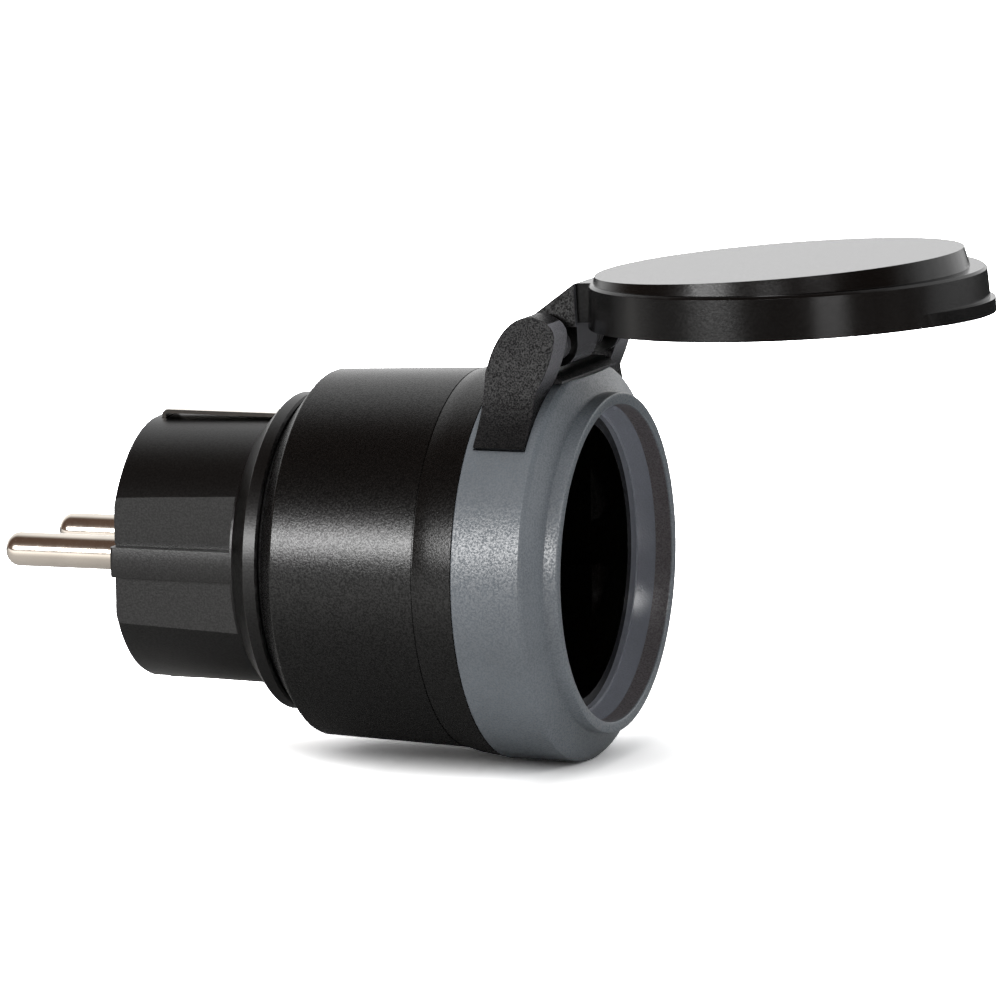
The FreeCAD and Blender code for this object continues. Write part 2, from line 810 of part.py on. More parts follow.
def make_shutter_spring():
    """The small torsion spring round the shutter's post, as the closed tube that its coils fill."""
    clear = s.spring_clearance
    low = carrier_front_x - s.spring_pocket_depth + clear
    outer = s.spring_pocket_radius - clear
    extrude(new_body("shutter_spring"), "coils", "YZ_Plane", low, carrier_front_x + clear / 2, [
        (circle, (0, 0, outer)),
        (circle, (0, 0, outer - s.shutter_spring_wall)),
    ])


def make_contact_carrier():
    """The moulding behind the shutter that holds the two contacts and the shutter's post."""
    body = new_body("contact_carrier")
    extrude(body, "disc", "YZ_Plane", carrier_rear_x, carrier_front_x,
            [(circle, (0, 0, carrier_radius))])
    extrude(body, "post", "YZ_Plane", carrier_front_x - OVER, shutter_front_x + s.shutter_gap / 2,
            [(circle, (0, 0, s.shutter_post_radius))])
    extrude(body, "spring_pocket", "YZ_Plane", carrier_front_x - s.spring_pocket_depth,
            carrier_front_x, [
                (circle, (0, 0, s.spring_pocket_radius)),
                (circle, (0, 0, s.shutter_post_radius)),
            ], cut=True)
    extrude(body, "contact_pockets", "YZ_Plane", contact_rear_x, carrier_front_x,
            at_pins(s.contact_radius + s.fit_clearance), cut=True)
    half_width = s.contact_tail_width / 2 + s.clip_clearance
    low = -s.contact_tail_drop - s.contact_tail_thickness - s.clip_clearance
    high = -s.contact_tail_drop + s.clip_clearance
    extrude(body, "tail_slots", "YZ_Plane", carrier_rear_x, contact_rear_x, [
        (rectangle, (y - half_width, y + half_width, low, high)) for y, name in PINS
    ], cut=True)
    notch_radius = s.boss_radius + s.clip_clearance
    extrude(body, "boss_notches", "YZ_Plane", carrier_rear_x, carrier_front_x,
            at_screws(notch_radius), cut=True)
    side = notch_radius * cosine(size_of(45))
    rim = (carrier_radius + OVER) * cosine(size_of(45))
    extrude(body, "notch_mouths", "YZ_Plane", carrier_rear_x, carrier_front_x, [
        (polygon, ([
            (screw_offset * y - side * z, screw_offset * z + side * y),
            (screw_offset * y + side * z, screw_offset * z - side * y),
            (rim * y + side * z, rim * z - side * y),
            (rim * y - side * z, rim * z + side * y),
        ],)) for y, z in QUARTERS
    ], cut=True)
    strip_slots(body, carrier_rear_x, carrier_front_x, bridge_inner_height - s.clip_clearance,
                carrier_radius + OVER)


def make_contact(y, name):
    """A slit brass sleeve that grips a pin, with a flat tail soldered to the board."""
    body = new_body(name + "_contact")
    front_x = carrier_front_x - s.fit_clearance
    extrude(body, "sleeve", "YZ_Plane", contact_rear_x, front_x,
            [(circle, (0, 0, s.contact_radius))])
    half_width = s.contact_tail_width / 2
    low = -s.contact_tail_drop - s.contact_tail_thickness
    extrude(body, "tail", "YZ_Plane", board_front_x, contact_rear_x, [
        (rectangle, (-half_width, half_width, low, -s.contact_tail_drop)),
    ])
    bore_x = front_x - s.contact_bore_depth
    extrude(body, "pin_bore", "YZ_Plane", bore_x, front_x,
            [(circle, (0, 0, s.contact_bore_radius))], cut=True)
    reach = s.contact_radius + OVER
    extrude(body, "slit", "YZ_Plane", bore_x + OVER, front_x, [
        (rectangle, (-s.contact_slit / 2, s.contact_slit / 2, -reach, reach)),
    ], cut=True)
    body.setExpression("Placement.Base.y", y.text)


def make_earth_bridge():
    """The U-shaped earth strip: a bar behind the carrier and an arm along each side of the recess."""
    outer = bridge_outer_height
    inner = bridge_inner_height
    tip = insert_front_x - s.bridge_tip_setback
    rise_x = tip - s.bridge_bow_length * 2
    peak_x = tip - s.bridge_bow_length
    low = inner - s.bridge_bow
    extrude(new_body("earth_bridge"), "strip", "XZ_Plane", -bridge_half, bridge_half, [(polygon, ([
        (bridge_rear_x, outer),
        (rise_x, outer),
        (peak_x, outer - s.bridge_bow),
        (tip, outer),
        (tip, inner),
        (peak_x, low),
        (rise_x, inner),
        (carrier_rear_x, inner),
        (carrier_rear_x, -inner),
        (rise_x, -inner),
        (peak_x, -low),
        (tip, -inner),
        (tip, -outer),
        (peak_x, s.bridge_bow - outer),
        (rise_x, -outer),
        (bridge_rear_x, -outer),
    ],))])


def make_circuit_board():
    """The round board that the plug's spigot and the screw bosses hold between them."""
    body = new_body("circuit_board")
    extrude(body, "disc", "YZ_Plane", board_rear_x, board_front_x, [(circle, (0, 0, board_radius))])
    wire_hole = s.earth_wire_radius + s.clip_clearance
    extrude(body, "holes", "YZ_Plane", board_rear_x, board_front_x,
            at_pins(tail_radius + s.fit_clearance) + at_screws(s.screw_radius + s.clip_clearance) + [
                (circle, (0, s.earth_wire_offset, wire_hole)),
                (circle, (0, -s.earth_wire_offset, wire_hole)),
            ], cut=True)


def make_components():
    """The parts on the board: the tall ones stand into the plug, the flat ones face the socket."""
    box_piece("relay", board_rear_x - s.relay_length, -s.relay_width / 2, -s.relay_height / 2,
              s.relay_length, s.relay_width, s.relay_height)
    cylinder_piece("reservoir_capacitor", s.reservoir_radius, s.reservoir_length,
                   board_rear_x - s.reservoir_length, s.reservoir_y, s.reservoir_z)
    box_piece("filter_capacitor", board_rear_x - s.filter_length,
              s.filter_y - s.filter_width / 2, s.filter_z - s.filter_height / 2,
              s.filter_length, s.filter_width, s.filter_height)
    cylinder_piece("varistor", s.varistor_radius, s.varistor_thickness,
                   board_rear_x - s.varistor_radius, s.varistor_y + s.varistor_thickness / 2,
                   s.varistor_z, (0, -1, 0))
    cylinder_piece("fuse", s.fuse_radius, s.fuse_length,
                   board_rear_x - s.fuse_length, s.fuse_y, s.fuse_z)
    box_piece("controller_chip", board_front_x, chip_y - s.chip_width / 2,
              s.chip_z - s.chip_length / 2, s.chip_height, s.chip_width, s.chip_length)
    box_piece("receiver_module", board_front_x, s.module_y - s.module_width / 2,
              module_z - s.module_length / 2, s.module_height, s.module_width, s.module_length)
    cylinder_piece("receiver_antenna", s.antenna_radius, s.antenna_length,
                   board_front_x + s.antenna_radius, s.antenna_length / 2, antenna_z, (0, -1, 0))


def make_assembly_screws():
    """Four long screws from the plug's face that clamp the whole stack to the insert's bosses."""
    screws = []
    head_x = s.screw_recess
    end_x = insert_rear_x - s.clip_clearance
    for number, (y, z) in enumerate(QUARTERS, start=1):
        place = (screw_offset * y, screw_offset * z)
        head = solid_cylinder("screw_head_%d" % number, s.screw_head_radius, s.screw_head_height,
                              head_x, *place)
        shank = solid_cylinder("screw_shank_%d" % number, s.screw_radius, end_x - head_x,
                               head_x, *place)
        screw = doc.addObject("Part::Fuse", "assembly_screw_%d" % number)
        screw.Base = head
        screw.Tool = shank
        screws.append(screw)
    group = doc.addObject("Part::Compound", "assembly_screws")
    group.Label = "assembly_screws"
    group.Links = screws
    pieces.append(group)


def make_hinge_bracket():
    """The black hinge mount: a saddle on the ring, a plate on its flat and two leaning ears."""
    body = new_body("hinge_bracket")
    rear = bracket_rear_x
    front = bracket_front_x
    cheek_y = bracket_skin_radius * cosine(s.bracket_wrap)
    lower_z = bracket_skin_radius * sine(s.bracket_wrap)
    head = s.ear_head_height
    top_z = hinge_z + head + OVER
    outline = [(hinge_x + head * along, hinge_z + head * up) for along, up in smoothed(EAR_OUTLINE)]
    sides = ((-cheek_y - OVER, -ear_inner, "near"), (ear_inner, cheek_y + OVER, "far"))
    for low, high, name in sides:
        extrude(body, name + "_ear", "XZ_Plane", low, high, [
            (polygon, ([(rear, lower_z), (front, lower_z), (front, bracket_front_height)] + outline,)),
        ])
    lean = cheek_y - ear_face
    height = top_z - lower_z
    curve = smoothed([(1, 0)] + EAR_LEAN + [(0, 1)])
    leaning = [(ear_face + lean * out, lower_z + height * up) for out, up in curve]
    beyond = cheek_y + OVER * 2
    for side in (-1, 1):
        waste = leaning + [(beyond, top_z), (beyond, lower_z)]
        extrude(body, "ear_lean_%d" % (side + 2), "YZ_Plane", rear - OVER, front + head, [
            (polygon, ([(y * side, z) for y, z in waste],)),
        ], cut=True)
    inside = bracket_seat_radius * sine(s.bracket_wrap)
    extrude(body, "saddle", "YZ_Plane", rear, front,
            [(rectangle, (-ear_inner, ear_inner, inside, ring_flat_z))])
    extrude(body, "seat", "YZ_Plane", rear - OVER, front + head,
            [(circle, (0, 0, bracket_seat_radius))], cut=True)
    plate_front_x = ring_front_x - s.plate_front_gap
    extrude(body, "plate", "XZ_Plane", -ear_inner, ear_inner, [(polygon, ([
        (ring_rear_x + s.plate_rear_gap, ring_flat_z),
        (plate_front_x, ring_flat_z),
        (plate_front_x, ring_flat_z + s.plate_lip),
        (plate_front_x - s.plate_slope, plate_top_z),
        (ring_rear_x + s.plate_rear_gap, plate_top_z),
    ],))])
    bore = s.hinge_pin_radius + s.fit_clearance
    extrude(body, "pin_bore", "XZ_Plane", -pin_end - s.fit_clearance, cheek_y,
            [(circle, (hinge_x, hinge_z, bore))], cut=True)


def make_hinge_pin():
    """The steel hinge pin, pushed in from the far ear and stopped in the near one."""
    cylinder_piece("hinge_pin", s.hinge_pin_radius, pin_end * 2, hinge_x, -pin_end, hinge_z, (0, 1, 0))


def arc_between(start, corner, end):
    """The arc that leaves start and reaches end touching the two equal lines to the corner."""
    middle = (start + end) / 2
    half_chord = (end - start).Length / 2
    rise = (corner - middle).Length
    side = (corner - start).Length
    sagitta = half_chord * (1 - half_chord / side) / (rise / side)
    through = middle + (corner - middle) * (sagitta / rise)
    return Part.Arc(start, through, end).toShape()


def biarc(start, heading, end, last_heading):
    """Two arcs that join two points and keep their headings."""
    span = end - start
    both = heading + last_heading
    turn = 2 * (1 - heading.dot(last_heading))
    reach = span.dot(both)
    side = (math.sqrt(reach ** 2 + turn * span.dot(span)) - reach) / turn
    joint = (start + end + (heading - last_heading) * side) / 2
    first = arc_between(start, start + heading * side, joint)
    return [first, arc_between(joint, end - last_heading * side, end)]


def make_hinge_spring():
    """The torsion spring that helps the lid shut: one wire wound round the pin, with a leg each end."""
    wire = s.spring_wire_radius.value
    pitch = s.spring_pitch.value
    radius = s.hinge_pin_radius.value + s.spring_clearance.value + wire
    turns = s.spring_turns.value
    start_y = (s.pocket_near_edge.value + pocket_far_edge.value - pitch * turns) / 2
    centre = vector(hinge_x.value, start_y, hinge_z.value)
    slope = pitch / math.tau

    def point(angle):
        return centre + vector(-radius * math.cos(angle), slope * angle, radius * math.sin(angle))

    def heading(angle):
        along = vector(radius * math.sin(angle), slope, radius * math.cos(angle))
        return along.normalize()

    steps = round(turns * 4)
    angles = [math.tau * turns * step / steps for step in range(steps + 1)]
    plate_gap = hinge_z.value - plate_top_z.value - s.spring_clearance.value - wire
    wall_gap = s.pocket_back.value - s.spring_clearance.value
    first_leg = point(0) - heading(0) * plate_gap
    last_leg = point(angles[-1]) + heading(angles[-1]) * wall_gap
    edges = [Part.makeLine(first_leg, point(0))]
    for angle, next_angle in zip(angles, angles[1:]):
        edges += biarc(point(angle), heading(angle), point(next_angle), heading(next_angle))
    edges.append(Part.makeLine(point(angles[-1]), last_leg))
    path = Part.Wire(edges)
    section = Part.Wire(Part.makeCircle(wire, first_leg, heading(0)))
    tube = path.makePipeShell([section], True, False)
    piece_from_shape("hinge_spring", tube)
    samples = [point(angle / 36 * math.tau) for angle in range(round(turns * 36) + 1)]
    gaps = [(a - b).Length - 2 * wire for i, a in enumerate(samples) for b in samples[i + 18:]]
    print("hinge spring: least gap to itself %.2f mm, volume %.3f of %.3f mm3"
          % (min(gaps), tube.Volume, path.Length * math.pi * wire ** 2))


def make_lid():
    """The hinged lid: a stepped round cap with a thumb tab, and the arm that reaches the hinge."""
    body = new_body("lid")
    step = lid_step_height
    crown_height = lid_top_height + OVER
    crown_top_radius = lid_crown_radius - s.lid_crown_draw * (crown_height - step)
    cap = new_sketch(body, "XZ_Plane", "cap_outline")
    polygon(cap, [
        (0, 0),
        (lid_rim_radius, 0),
        (lid_step_radius, step - s.lid_step_edge),
        (lid_step_radius - s.lid_step_edge, step),
        (0, step),
    ])
    crown = new_sketch(body, "XZ_Plane", "crown_outline")
    crown.setExpression("AttachmentOffset.Base.x", (-s.lid_crown_shift).text)
    polygon(crown, [
        (0, step - s.lid_step_edge),
        (lid_crown_radius, step - s.lid_step_edge),
        (lid_crown_radius, step),
        (crown_top_radius, crown_height),
        (0, crown_height),
    ])
    for sketch, name in ((cap, "cap"), (crown, "crown")):
        turned = body.newObject("PartDesign::Revolution", name)
        turned.Profile = sketch
        turned.ReferenceAxis = (sketch, ["V_Axis"])
        turned.Angle = FULL_TURN
    extrude(body, "thumb_tab", "XY_Plane", 0, s.tab_thickness,
            [(circle, (tab_reach - s.tab_radius, 0, s.tab_radius))])
    lift = s.lid_top_slope * tab_reach
    extrude(body, "sloping_top", "XZ_Plane", -tab_reach, tab_reach, [(polygon, ([
        (-tab_reach, lid_top_height - lift),
        (tab_reach, lid_top_height + lift),
        (tab_reach, crown_height + OVER),
        (-tab_reach, crown_height + OVER),
    ],))], cut=True)
    wall_x = -lid_bore_radius + OVER
    arm_top = step - s.arm_top_drop
    near_end = s.knuckle_setback - s.arm_half_width
    neck_half = s.arm_half_width - s.neck_inset
    extrude(body, "neck", "XZ_Plane", -neck_half, neck_half, [(polygon, ([
        (hinge_back, s.neck_lift),
        (wall_x, s.neck_lift),
        (wall_x, arm_top),
        (hinge_back + s.arm_reach, arm_top),
        (hinge_back, hinge_drop + s.arm_back_height),
    ],))])
    extrude(body, "arm", "XZ_Plane", -s.arm_half_width, s.arm_half_width, [(polygon, ([
        (hinge_back - s.knuckle_radius, 0),
        (hinge_back + s.arm_reach, 0),
        (hinge_back + s.arm_reach, arm_top),
        (hinge_back - s.knuckle_radius, hinge_drop + s.arm_back_height),
    ],))])
    extrude(body, "knuckle_root", "XZ_Plane", near_end, s.arm_half_width, [
        (rectangle, (hinge_back - s.knuckle_radius, hinge_back + s.knuckle_radius, hinge_drop, 0)),
    ])
    extrude(body, "knuckle", "XZ_Plane", near_end, s.arm_half_width,
            [(circle, (hinge_back, hinge_drop, s.knuckle_radius))])
    boss_end = s.boss_reach_gap - ear_inner
    extrude(body, "knuckle_boss", "XZ_Plane", boss_end, -boss_end,
            [(circle, (hinge_back, hinge_drop, s.knuckle_boss_radius))])
    low = hinge_drop - s.knuckle_radius - OVER
    front = hinge_back + s.knuckle_radius + OVER
    extrude(body, "spring_pocket", "XZ_Plane", s.pocket_near_edge, pocket_far_edge, [
        (rectangle, (hinge_back - s.pocket_back, front, low, 0)),
    ], cut=True)
    extrude(body, "pin_bore", "XZ_Plane", -ear_inner, ear_inner, [
        (circle, (hinge_back, hinge_drop, s.hinge_pin_radius + s.hinge_clearance)),
    ], cut=True)
    hollow = new_sketch(body, "XZ_Plane", "hollow_outline")
    polygon(hollow, [
        (0, 0),
        (lid_rim_radius - s.lid_rim_land, 0),
        (lid_bore_radius, s.lid_bevel_height),
        (lid_bore_radius, lid_ceiling),
        (0, lid_ceiling),
    ])
    hollow_form = body.newObject("PartDesign::Groove", "hollow")
    hollow_form.Profile = hollow
    hollow_form.ReferenceAxis = (hollow, ["V_Axis"])
    hollow_form.Angle = FULL_TURN
    hang_on_hinge(body)


def make_lid_gasket():
    """The flat rubber seal inside the lid that closes on the collar's rim."""
    body = new_body("lid_gasket")
    extrude(body, "ring", "XY_Plane", lid_ceiling - s.lid_gasket_thickness, lid_ceiling, [
        (circle, (0, 0, lid_bore_radius - s.lid_gasket_gap)),
        (circle, (0, 0, mouth_radius - s.lid_gasket_lap)),
    ])
    hang_on_hinge(body)


def hang_on_hinge(body):
    """Place a piece of the lid, drawn about its rim's centre, in the open pose of the photograph."""
    across, down = cosine(lid_tilt), sine(lid_tilt)
    body.Placement.Rotation = FreeCAD.Rotation(vector(0, -1, 0), lid_tilt.value)
    body.setExpression("Placement.Rotation.Angle", "%s * 1 deg" % lid_tilt.text)
    body.setExpression("Placement.Base.x", (hinge_x - hinge_back * across + hinge_drop * down).text)
    body.setExpression("Placement.Base.z", (hinge_z - hinge_back * down - hinge_drop * across).text)


make_plug_base()
for pin_y, pin_name in PINS:
    make_pin(pin_y, pin_name)
    make_contact(pin_y, pin_name)
make_earth_clip("upper_earth_clip", 1, upper_clip_radius)
make_earth_clip("lower_earth_clip", -1, lower_clip_radius)
make_earth_wires()
make_rear_seal()
make_body_shell()
make_body_gasket()
make_front_ring()
make_socket_insert()
make_contact_shutter()
make_shutter_spring()
make_contact_carrier()
make_earth_bridge()
make_circuit_board()
make_components()
make_assembly_screws()
make_hinge_bracket()
make_hinge_pin()
make_hinge_spring()
make_lid()
make_lid_gasket()
doc.recompute()

faults = [item.Name for item in doc.Objects if {"Invalid", "Error"} & set(item.State)]
for piece in pieces:
    if piece.Shape.isNull() or not piece.Shape.isValid():
        faults.append(piece.Label)
if faults:
    raise RuntimeError("these objects failed: " + ", ".join(faults))

os.makedirs("parts", exist_ok=True)
for piece in pieces:
    piece.Shape.exportStep("parts/%s.step" % piece.Label)
print("%d pieces written" % len(pieces))
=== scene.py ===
import math

import bpy
from mathutils import Matrix, Vector


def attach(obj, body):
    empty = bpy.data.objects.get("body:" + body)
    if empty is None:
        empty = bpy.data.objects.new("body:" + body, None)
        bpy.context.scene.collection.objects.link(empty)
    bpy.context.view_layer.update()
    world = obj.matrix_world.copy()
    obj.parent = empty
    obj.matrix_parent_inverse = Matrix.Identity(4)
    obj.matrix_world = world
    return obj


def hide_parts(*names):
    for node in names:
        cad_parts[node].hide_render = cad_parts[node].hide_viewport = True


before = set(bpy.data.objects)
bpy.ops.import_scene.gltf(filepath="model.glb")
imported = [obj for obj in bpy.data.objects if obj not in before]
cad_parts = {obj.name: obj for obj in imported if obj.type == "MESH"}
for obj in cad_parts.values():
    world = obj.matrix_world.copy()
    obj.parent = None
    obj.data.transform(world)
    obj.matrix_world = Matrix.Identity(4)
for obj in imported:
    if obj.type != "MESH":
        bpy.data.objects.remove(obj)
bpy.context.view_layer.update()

# The plug: one black nylon moulding with a round nose, two side flats with guide ribs, and a
# conical flange. Its mould is spark-eroded, and every edge is slightly rounded. It is the rear
# end of the stack that four long screws clamp together. Every size is in millimetres.
MM = 0.001
ROUND_STEPS = 256
HOLE_STEPS = 48
WELD = 0.002 * MM
SMOOTH_BELOW = math.radians(32)
BEVEL_STEPS = 3


def turned(name, stations, steps=ROUND_STEPS):
    """A round piece about the X axis: a circle extruded and scaled along (x, radius) stations."""
    bpy.ops.object.select_all(action="DESELECT")
    x, radius = stations[0]
    bpy.ops.mesh.primitive_circle_add(vertices=steps, radius=radius * MM,
                                      location=(x * MM, 0, 0), rotation=(0, math.pi / 2, 0))
    piece = bpy.context.object
    piece.name = name
    bpy.ops.object.transform_apply(location=True, rotation=True, scale=True)
    bpy.ops.object.mode_set(mode="EDIT")
    bpy.ops.mesh.select_all(action="SELECT")
    for next_x, next_radius in stations[1:]:
        move = ((next_x - x) * MM, 0, 0)
        bpy.ops.mesh.extrude_region_move(TRANSFORM_OT_translate={"value": move})
        ratio = next_radius / radius
        bpy.ops.transform.resize(value=(1, ratio, ratio), center_override=(next_x * MM, 0, 0))
        x, radius = next_x, next_radius
    bpy.ops.mesh.select_all(action="SELECT")
    bpy.ops.mesh.remove_doubles(threshold=WELD)
    bpy.ops.mesh.fill_holes(sides=0)
    bpy.ops.mesh.select_all(action="SELECT")
    bpy.ops.mesh.normals_make_consistent(inside=False)
    bpy.ops.object.mode_set(mode="OBJECT")
    return piece


def use_only(piece):
    """Make one piece the selected and active one."""
    bpy.ops.object.select_all(action="DESELECT")
    piece.select_set(True)
    bpy.context.view_layer.objects.active = piece


def block(name, low, high):
    """A cutting block between two corners."""
    bpy.ops.object.select_all(action="DESELECT")
    centre = [(a + b) / 2 * MM for a, b in zip(low, high)]
    bpy.ops.mesh.primitive_cube_add(size=1, location=centre)
    piece = bpy.context.object
    piece.name = name
    piece.scale = [(b - a) * MM for a, b in zip(low, high)]
    bpy.ops.object.transform_apply(location=True, rotation=True, scale=True)
    return piece


def cut(piece, tool):
    """Cut one piece with a tool, which is then deleted."""
    use_only(piece)
    modifier = piece.modifiers.new("cut", "BOOLEAN")
    modifier.operation = "DIFFERENCE"
    modifier.solver = "EXACT"
    modifier.object = tool
    bpy.ops.object.modifier_apply(modifier=modifier.name)
    bpy.data.objects.remove(tool)


def softened(piece, width=0, angle=28):
    """Round the edges of a piece, if given a width, and shade it smooth between them."""
    use_only(piece)
    if width:
        bevel = piece.modifiers.new("edges", "BEVEL")
        bevel.width = width * MM
        bevel.segments = BEVEL_STEPS
        bevel.limit_method = "ANGLE"
        bevel.angle_limit = math.radians(angle)
        bevel.use_clamp_overlap = True
        bpy.ops.object.modifier_apply(modifier=bevel.name)
    bpy.ops.object.shade_smooth_by_angle(angle=SMOOTH_BELOW)
    weighting = piece.modifiers.new("flat_faces", "WEIGHTED_NORMAL")
    weighting.keep_sharp = True
    bpy.ops.object.modifier_apply(modifier=weighting.name)


def colour(code):
    """A linear colour from an sRGB hex code."""
    parts = [int(code[i:i + 2], 16) / 255 for i in (1, 3, 5)]
    return [p / 12.92 if p <= 0.04045 else ((p + 0.055) / 1.055) ** 2.4 for p in parts] + [1]


def fill(tree, target, inputs):
    """Fill a node's sockets with values or with other nodes' outputs."""
    for name, value in inputs.items():
        if isinstance(value, bpy.types.NodeSocket):
            tree.links.new(value, target.inputs[name])
        else:
            target.inputs[name].default_value = value


def node(tree, kind, inputs=None, stops=(), **settings):
    """Add a node, set it up, and fill its sockets; stops are a ramp's positions and colours."""
    made = tree.nodes.new(kind)
    for name, value in settings.items():
        setattr(made, name, value)
    if stops:
        points = made.color_ramp.elements
        while len(points) < len(stops):
            points.new(1.0)
        for point, (position, value) in zip(points, stops):
            point.position = position
            point.color = value
    fill(tree, made, inputs or {})
    return made


def new_material(name):
    """A new material, its node tree, its shader and the place that its patterns are read at."""
    material = bpy.data.materials.new(name)
    material.use_nodes = True
    tree = material.node_tree
    place = node(tree, "ShaderNodeTexCoord").outputs["Object"]
    return material, tree, tree.nodes["Principled BSDF"], place


# The noise of a grain stays mostly within this range, so what follows it is spread over that.
GRAIN_NOISE = {"Detail": 3.0, "Roughness": 0.6}
GRAIN_LOW, GRAIN_HIGH = 0.4, 0.6
MOTTLES = 90.0      # to the metre: patches 11 mm wide
GLOSS_SWING = 0.05


def moulded(name, code, roughness, grain, relief, mottling=0.15, specular=0.32, sparkle=0.5):
    """A moulded thermoplastic: dull between the grains of its mould's surface, bright on them.

    grain and relief are the grain's width and depth, mottling is how much paler its broad
    patches are, and sparkle is how far single grains shine more or less than the rest. The
    shader's own socket keeps the plain specular level, for a use that can't read the grain.
    """
    material, tree, shader, place = new_material(name)
    fine = node(tree, "ShaderNodeTexNoise", {
        "Vector": place, "Scale": 1 / (grain * MM), **GRAIN_NOISE})
    broad = node(tree, "ShaderNodeTexNoise", {"Vector": place, "Scale": MOTTLES, "Detail": 4.0})
    base = colour(code)
    paler = [c * (1 + mottling) for c in base[:3]] + [1]
    tint = node(tree, "ShaderNodeValToRGB", {"Fac": broad.outputs["Fac"]},
                stops=[(0.35, base), (0.65, paler)])
    gloss = node(tree, "ShaderNodeMapRange", {
        "Value": fine.outputs["Fac"],
        "To Min": roughness - GLOSS_SWING, "To Max": roughness + GLOSS_SWING})
    bump = node(tree, "ShaderNodeBump", {"Height": fine.outputs["Fac"], "Distance": relief * MM})
    glint = node(tree, "ShaderNodeMapRange", {
        "Value": fine.outputs["Fac"], "From Min": GRAIN_LOW, "From Max": GRAIN_HIGH,
        "To Min": specular * (1 - sparkle), "To Max": specular * (1 + sparkle)})
    fill(tree, shader, {"Specular IOR Level": specular})
    fill(tree, shader, {
        "Base Color": tint.outputs["Color"], "Roughness": gloss.outputs["Result"],
        "Normal": bump.outputs["Normal"], "Specular IOR Level": glint.outputs["Result"]})
    return material


def finish_piece(piece, material, body, replaced):
    """Give a finished piece its material and its body, and hide the CAD node that it stands for.
    """
    piece.data.materials.clear()
    piece.data.materials.append(material)
    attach(piece, body)
    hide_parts(replaced)


AXIS_HOLE = 0.4         # the first circle's radius, which fill_holes closes
NOSE_FACE = 18.4        # radius at the face that the pins come out of
NOSE_NECK = 18.8        # radius where the cone begins
NOSE_LENGTH = 18.6
FLANGE = 22.2
FLANGE_REAR = 21.6
FLANGE_FRONT = 23.7
NOSE_FLOOR = 7.0        # the thickness of the nose's floor
NOSE_BORE = 13.6
nose = turned("plug_moulding", [
    (0.0, AXIS_HOLE), (0.0, NOSE_FACE - 0.6),                           # the face
    (0.2, NOSE_FACE - 0.2), (0.6, NOSE_FACE),                           # its rounded edge
    (NOSE_LENGTH, NOSE_NECK), (FLANGE_REAR - 0.15, FLANGE - 0.2),       # the cone
    (FLANGE_REAR + 0.1, FLANGE), (FLANGE_FRONT - 0.3, FLANGE),          # the flange's rim
    (FLANGE_FRONT, FLANGE - 0.3), (FLANGE_FRONT, NOSE_BORE),            # the joint with the body
    (NOSE_FLOOR, NOSE_BORE), (NOSE_FLOOR, AXIS_HOLE),                   # the hollow inside
])
FLAT = 16.15            # from the axis to a side flat
FLAT_END = 18.3
RIB_HALF = 2.1          # half the height of a guide rib
LINE_DEPTHS = (15.85, 16.5)
LINE_WIDTH = 0.3        # the fine line along a rib's edge
PAST_NOSE = 21.0        # where a cutter ends, clear of the nose
SCREW_OFFSET = 11.17    # from the axis, across and up
SCREW_RECESS = 2.05     # radius of the recess over a screw's head
RECESS_DEPTH = 1.225
for side in (-1, 1):
    for half in (-1, 1):
        for name, across, upward in (
            ("flat_cutter", (FLAT, PAST_NOSE), (RIB_HALF, PAST_NOSE)),
            ("rib_line_cutter", LINE_DEPTHS, (RIB_HALF, RIB_HALF + LINE_WIDTH)),
        ):
            low_y, high_y = sorted(y * side for y in across)
            low_z, high_z = sorted(z * half for z in upward)
            cut(nose, block(name, (-1.0, low_y, low_z), (FLAT_END, high_y, high_z)))
        bpy.ops.mesh.primitive_cylinder_add(
            vertices=HOLE_STEPS, radius=SCREW_RECESS * MM, depth=2 * RECESS_DEPTH * MM,
            rotation=(0, math.pi / 2, 0),
            location=(0, side * SCREW_OFFSET * MM, half * SCREW_OFFSET * MM))
        cut(nose, bpy.context.object)
CLIP_HALF = 2.65        # half the width of an earth clip's slot
CLIP_REAR = 1.65
CLIP_FRONT = 21.2
PAST_FLANGE = 24.0
for low_x, low_z, high_x, high_z in (
    (17.3, 18.8, CLIP_FRONT, PAST_FLANGE),              # the upper clip's way into the cone
    (CLIP_REAR, 15.0, 2.5, PAST_FLANGE),                # the slit for its bent leg
    (CLIP_REAR, -PAST_FLANGE, CLIP_FRONT, -17.7),       # the lower clip's channel
):
    cut(nose, block("clip_cutter", (low_x, -CLIP_HALF, low_z), (high_x, CLIP_HALF, high_z)))
softened(nose, 0.25)

# Black nylon from a spark-eroded mould gives a dull, even sheen. The real grain is about 0.1 mm
# wide. It is drawn at 0.27 mm, two pixels, because a finer one doesn't show.
ERODED_GRAIN = 0.27
black_nylon = moulded("black_nylon_eroded", "#050505", 0.33, ERODED_GRAIN, 0.016,
                      specular=0.36, sparkle=0.13)
finish_piece(nose, black_nylon, "chassis", "plug_base")


# The two pins: turned brass rods, nickel-plated and polished, with a domed tip.
# They are moulded into the plug's floor and soldered to the board behind it.
PIN_RADIUS = 2.4
PIN_LENGTH = 19.0
PIN_SPACING = 19.0
PIN_ROOT = 0.2          # how far a pin goes on behind the plug's face
PIN_STEPS = 64
TIP_LENGTH = 1.9
TIP_FLAT = 0.7          # radius of the flat at the end of the dome
POLISHING_MARKS = 1400.0    # to the metre: 0.7 mm apart, coarser than the real ones, to show
MARK_DEPTH = 0.001
MARK_SWING = 0.3
DULLER_PATCHES = 160.0      # to the metre: patches 6 mm wide
DULLER = 0.86


